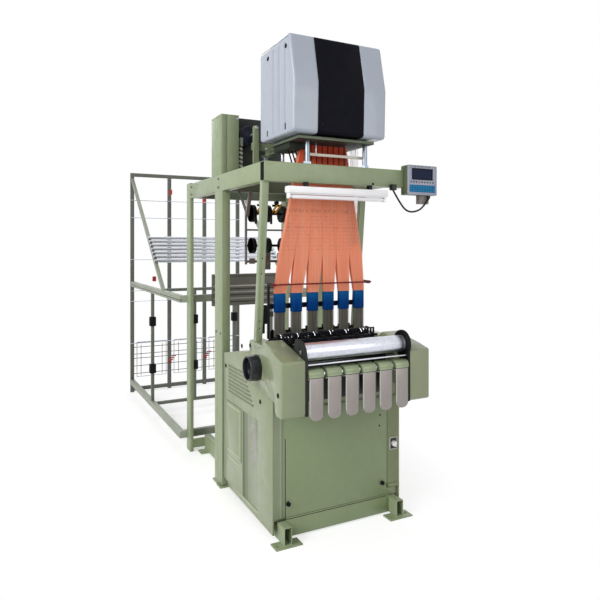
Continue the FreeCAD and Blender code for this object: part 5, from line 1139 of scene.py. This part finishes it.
class LOOM_OT_head(bpy.types.Operator):
    """Lid line, latches, screws, comber frame and cord cradle of the patterning head"""

    bl_idname = "loom.head"
    bl_label = "Head details"

    def execute(self, context):
        dark = [
            block((-0.3154, -0.335, 3.0085), (-0.3146, 0.075, 3.0115), 0.0002),
            bar("X", (-0.3152, -0.300, 2.957), 0.006, 0.014, 20, 0.001),
            bar("X", (-0.3152, -0.030, 2.953), 0.006, 0.014, 20, 0.001),
            block((-0.3165, -0.297, 2.447), (-0.3145, -0.285, 2.487), 0.0008),
            block((-0.3165, -0.026, 2.447), (-0.3145, -0.014, 2.485), 0.0008),
        ]
        finish_set("head_latches", dark, "black")
        spots = []
        for left, right, y, z, direction in (
            (-0.128, 0.146, -0.3557, 2.978, BACK_AND_UP),
            (-0.108, 0.157, -0.4007, 2.765, BACK_AND_UP),
            (-0.114, 0.157, -0.4082, 2.712, FRONTWARD),
            (-0.114, 0.157, -0.4027, 2.475, FRONTWARD),
        ):
            spots += facing(direction, [(left, y, z), (right, y, z)])
        scatter("panel_screws", socket_screw(0.0045, 0.002), spots, "dark_steel")
        comber = [
            block((-0.103, -0.236, 2.308), (0.284, -0.224, 2.326), 0.002),
            block((-0.109, -0.236, 2.308), (-0.099, -0.03, 2.326), 0.002),
        ]
        finish_set("comber_frame", comber, "cream")
        rods = [bar("Z", (x, -0.23, 2.357), 0.067, 0.0042, 12) for x in (-0.067, 0.233)]
        rods.append(bar("Z", (-0.180, 0.03, 2.339), 0.104, 0.0125, 18, 0.001))
        rods.append(bar("Z", (-0.180, 0.03, 2.364), 0.022, 0.020, 6, 0.002))
        finish_set("comber_rods", rods, "zinc")
        hoist = [block((-0.245, -0.20, 2.352), (-0.130, 0.03, 2.3905), 0.003)]
        finish_set("hoist_block", hoist, "under")
        link = ((0, -0.12, 2.356), (0.012, -0.12, 2.33), (0.030, -0.12, 2.27))
        links = [wire(link, 0.005, 2, -0.215 + k * 0.026) for k in range(3)]
        finish_set("hoist_links", links, "black")
        slats = [-0.126 + k * 0.042 for k in range(8)]
        cradle = [block((x, -0.192, 2.262), (x + 0.004, -0.185, 2.389)) for x in slats]
        finish_set("cord_cradle", cradle, "maroon")
        return {"FINISHED"}


class LOOM_OT_drive(bpy.types.Operator):
    """Bolts, motor shaft and cabinet seams of the lift drive"""

    bl_idname = "loom.drive"
    bl_label = "Lift drive details"

    def execute(self, context):
        for name, radius, height, y, points, body in (
            ("cabinet_bolts", 0.007, 0.004, 0.4705, ((-0.336, 2.655), (-0.336, 2.275)), ROOT),
            ("arm_bolts", 0.008, 0.005, 0.4465, ((-0.118, 2.4475), (0.05, 2.449), (0.20, 2.449)), ROOT),
            ("lever_bolts", 0.010, 0.006, 0.4195, ((-0.209, 2.592), (-0.209, 2.30)), "lever"),
        ):
            screw = socket_screw(radius, height)
            spots = facing(FRONTWARD, [(x, y, z) for x, z in points])
            scatter(name, screw, spots, "zinc", body)
        shaft = [bar("Y", (-0.232, 0.4645, 2.545), 0.032, 0.009, 18, 0.001)]
        finish_set("motor_shaft", shaft, "zinc")
        seams = [
            block((-0.4604, 0.49, 2.26), (-0.4598, 0.492, 2.67)),
            block((-0.4604, 0.49, 2.668), (-0.4598, 0.68, 2.670)),
        ]
        finish_set("cabinet_seams", seams, "seam")
        return {"FINISHED"}


class LOOM_OT_gantry(bpy.types.Operator):
    """Bolts and open ends of the beams, and the lamp with its tube, caps and holders"""

    bl_idname = "loom.gantry"
    bl_label = "Gantry details"

    def execute(self, context):
        bolts = [(y, z) for y in (0.532, 1.22) for z in (2.155, 2.217)] + [(0.482, 1.10), (0.582, 1.10)]
        spots = [((BEAM_SIDE * side, y, z), (side, 0, 0)) for side in (-1, 1) for y, z in bolts]
        scatter("beam_bolts", socket_screw(0.009, 0.006), spots, "grey_steel")
        dots = [bar("Y", (0.325, -0.3005, 2.141), 0.003, 0.008, 16, 0.0006)]
        finish_set("beam_plugs", dots, "seam")
        # painted shade: a dark sheet stands for the shadowed hollow in the open end of the left beam
        ends = [block((-0.4606, -0.296, 2.131), (-0.4596, -0.244, 2.241), 0.0002)]
        finish_set("tube_ends", ends, "seam")
        left, right = LAMP_LEFT, LAMP_RIGHT
        case = [
            block((left, -0.357, 2.055), (right, -0.303, 2.097), 0.006, 3),
            block((left + 0.012, -0.345, 2.049), (right - 0.012, -0.315, 2.058), 0.002),
        ]
        for x in (left + 0.006, right - 0.022):
            case.append(block((x, -0.346, 2.021), (x + 0.016, -0.314, 2.057), 0.004))
        finish_set("lamp_case", case, "white", ROOT, ("lamp",))
        tube = [bar("X", ((left + right) / 2, *LAMP_AXIS), right - left - 0.045, 0.0125, 24, 0.003)]
        finish_set("lamp_tube", tube, "white")
        caps = [bar("X", (x, *LAMP_AXIS), 0.012, 0.0132, 24, 0.001) for x in (left + 0.028, right - 0.028)]
        finish_set("tube_caps", caps, "zinc")
        holders = [block((x, -0.342, 2.094), (x + 0.022, -0.304, 2.127), 0.002) for x in (-0.20, 0.27)]
        finish_set("lamp_holders", holders, "dark_steel")
        return {"FINISHED"}


class LOOM_OT_control(bpy.types.Operator):
    """Display, vents, lamps and keypad of the control box"""

    bl_idname = "loom.control"
    bl_label = "Control box"

    def execute(self, context):
        screen = [block((0.617, -0.3484, 2.189), (0.779, BOX_FACE, 2.251), 0.0004)]
        finish_set("display_glass", screen, "screen")
        # round the glass: low and high of X and Z
        rim = ((0.609, 0.787, 2.181, 2.189), (0.609, 0.787, 2.251, 2.259))
        rim += ((0.609, 0.617, 2.189, 2.251), (0.779, 0.787, 2.189, 2.251))
        pieces = [block((x, -0.3505, z), (to_x, BOX_FACE, to_z), 0.0006) for x, to_x, z, to_z in rim]
        for k in range(5):
            x = 0.63 + k * 0.03
            pieces.append(block((x, -0.3496, 2.2695), (x + 0.012, -0.3486, 2.2735), 0.0003))
        finish_set("display_rim", pieces, "black")
        dots = facing(FRONTWARD, [(0.600 + k * 0.0235, -0.3488, 2.1655) for k in range(9)])
        for name, radius, spots, material in (
            ("signal_lamps", 0.0058, dots[:3] + dots[4:], "lamp_dot"),
            ("red_lamp", 0.0060, dots[3:4], "red"),
        ):
            lens = bar("Z", (0, 0, 0.001), 0.002, radius, 14, 0.0004)
            scatter(name, lens, spots, material)
        pad = [block((0.588, -0.3502, 2.097), (0.806, KEYPAD_FACE, 2.146), 0.0006)]
        finish_set("keypad", pad, "blue")
        keys = []
        for row in range(3):
            for column in range(10):
                x = 0.5935 + column * 0.0212
                z = 2.1015 + row * 0.0145
                keys.append(block((x, -0.3512, z), (x + 0.016, -0.3499, z + 0.0105), 0.0006))
        finish_set("keypad_keys", keys, "key")
        return {"FINISHED"}


class LOOM_OT_creel(bpy.types.Operator):
    """Clips, wires and post holders of the creel, and the banded sheet of the plate rack"""

    bl_idname = "loom.creel"
    bl_label = "Creel details"

    def execute(self, context):
        clips = []
        for x, z in ((-0.05, 2.372), (0.377, 2.278), (-0.244, 1.327)):
            low = (x - 0.022, CREEL_Y - 0.012, z - 0.03)
            clips.append(block(low, (x + 0.022, CREEL_Y + 0.006, z + 0.03), 0.006))
        for start, z in ((-0.09, 0.345), (0.355, 0.36)):
            for k in range(4):
                x = start + k * 0.018
                low = z + (k - 1.5) * 0.024
                clips.append(block((x, 3.474, low), (x + 0.055, 3.482, low + 0.016), 0.004))
        finish_set("creel_clips", clips, "red")
        wires = [bar("X", (0.161, 3.487, z), 1.30, 0.0035, 8) for z in (0.525, 0.445, 0.395, 0.305, 0.215)]
        posts = (-0.40, -0.15, 0.05, 0.28, 0.50, 0.70)
        wires += [bar("Z", (x, 3.484, 0.37), 0.36, 0.003, 8) for x in posts]
        finish_set("creel_wires", wires, "dark_steel")
        holders = []
        for x in CREEL_POSTS:
            for z in (0.48, 0.959):
                rows = (
                    ((-0.032, 2.416, z - 0.05), (0.030, 2.474, z + 0.045), 0.008),
                    ((-0.020, 2.408, z - 0.025), (0.020, 2.43, z + 0.03), 0.006),
                )
                holders += blocks(rows, x, 2)
        finish_set("post_holders", holders, "black")
        sheet = [block((-0.238, 1.2995, 1.208), (0.423, 1.3045, 1.474), 0.001)]
        finish_set("rack_bands", sheet, "rack")
        return {"FINISHED"}


ARM_BLOCKS = (
    ((0.016, 0.306, 1.955), (0.078, 0.316, 1.985), 0.003),
    ((-0.010, 0.276, 1.885), (0.008, 0.284, 1.935), 0.003),
    ((0.020, 0.306, 2.012), (0.086, 0.314, 2.028), 0.003),
)


class LOOM_OT_feeders(bpy.types.Operator):
    """Paired discs, slanted fingers, arms and guides of the weft feeders"""

    bl_idname = "loom.feeders"
    bl_label = "Weft feeders"

    def execute(self, context):
        for level, height, radius in (("upper", 1.962, 0.0616), ("lower", 1.732, 0.0556)):
            discs = []
            for x in FEEDERS:
                for shift in (-0.0095, 0.0095):
                    discs.append(bar("X", (x + shift, FEEDER_Y, height), 0.009, radius, 28, 0.0015))
                discs.append(bar("X", (x, FEEDER_Y, height), 0.027, 0.016, 16, 0.001))
            body = BODY_OF["feeder_wheels_" + level]
            finish_set("feeder_discs_" + level, discs, "discs", body)
        fingers, arms = [], []
        for x in FEEDERS:
            for k in range(2):
                middle = x + 0.036 + k * 0.030
                finger = block((middle - 0.0065, 0.295, 1.955), (middle + 0.0065, 0.305, 2.041), 0.002)
                fingers.append(turned(finger, 38, "Y", (middle, 0.300, 1.998 + k * 0.002)))
            arms += blocks(ARM_BLOCKS, x)
            arms.append(bar("Y", (x + 0.05, 0.300, 2.04), 0.03, 0.014, 14, 0.002))
        finish_set("yarn_fingers", fingers, "yellow")
        finish_set("yarn_arms", arms, "discs")
        hanger = block((-0.335, 0.286, 1.935), (-0.305, 0.294, 2.115), 0.003)
        turned(hanger, 9, "Y", (-0.318, 0.290, 2.03))
        finish_set("feeder_hanger", [hanger], "grey_steel")
        guides, buttons = [], []
        for x in WEFT_GUIDES:
            guides.append(bar("Y", (x, 0.300, 1.665), 0.012, 0.016, 14, 0.002))
            guides.append(bar("Y", (x + 0.03, 0.300, 1.60), 0.012, 0.012, 14, 0.002))
            guides.append(block((x - 0.02, 0.306, 1.560), (x + 0.045, 0.311, 1.680), 0.002))
            buttons.append(bar("Y", (x, 0.291, 1.640), 0.008, 0.009, 14, 0.001))
        finish_set("weft_guides", guides, "rack")
        finish_set("weft_buttons", buttons, "red")
        return {"FINISHED"}


# ---- panel and start
OPERATORS = [
    LOOM_OT_finishes,
    LOOM_OT_stage,
    LOOM_OT_cable,
    LOOM_OT_harness,
    LOOM_OT_forms,
    LOOM_OT_body,
    LOOM_OT_takeoff,
    LOOM_OT_weaving,
    LOOM_OT_head,
    LOOM_OT_drive,
    LOOM_OT_gantry,
    LOOM_OT_control,
    LOOM_OT_creel,
    LOOM_OT_feeders,
]


class LOOM_PT_panel(bpy.types.Panel):
    bl_label = "Power loom"
    bl_idname = "LOOM_PT_panel"
    bl_space_type = "VIEW_3D"
    bl_region_type = "UI"
    bl_category = "Loom"

    def draw(self, context):
        for group in (context.scene.loom_finish, context.scene.loom_sizes):
            for name in group.__annotations__:
                self.layout.prop(group, name)
        for operator in OPERATORS:
            self.layout.operator(operator.bl_idname)


CLASSES = [LoomFinish, LoomSizes] + OPERATORS + [LOOM_PT_panel]


def register():
    for cls in CLASSES:
        bpy.utils.register_class(cls)
    bpy.types.Scene.loom_finish = bpy.props.PointerProperty(type=LoomFinish)
    bpy.types.Scene.loom_sizes = bpy.props.PointerProperty(type=LoomSizes)


def unregister():
    del bpy.types.Scene.loom_sizes
    del bpy.types.Scene.loom_finish
    for cls in reversed(CLASSES):
        bpy.utils.unregister_class(cls)


def main():
    register()
    for operator in OPERATORS:
        group, name = operator.bl_idname.split(".")
        result = getattr(getattr(bpy.ops, group), name)()
        if result != {"FINISHED"}:
            raise RuntimeError("%s did not finish" % operator.bl_label)


if __name__ == "__main__":
    main()
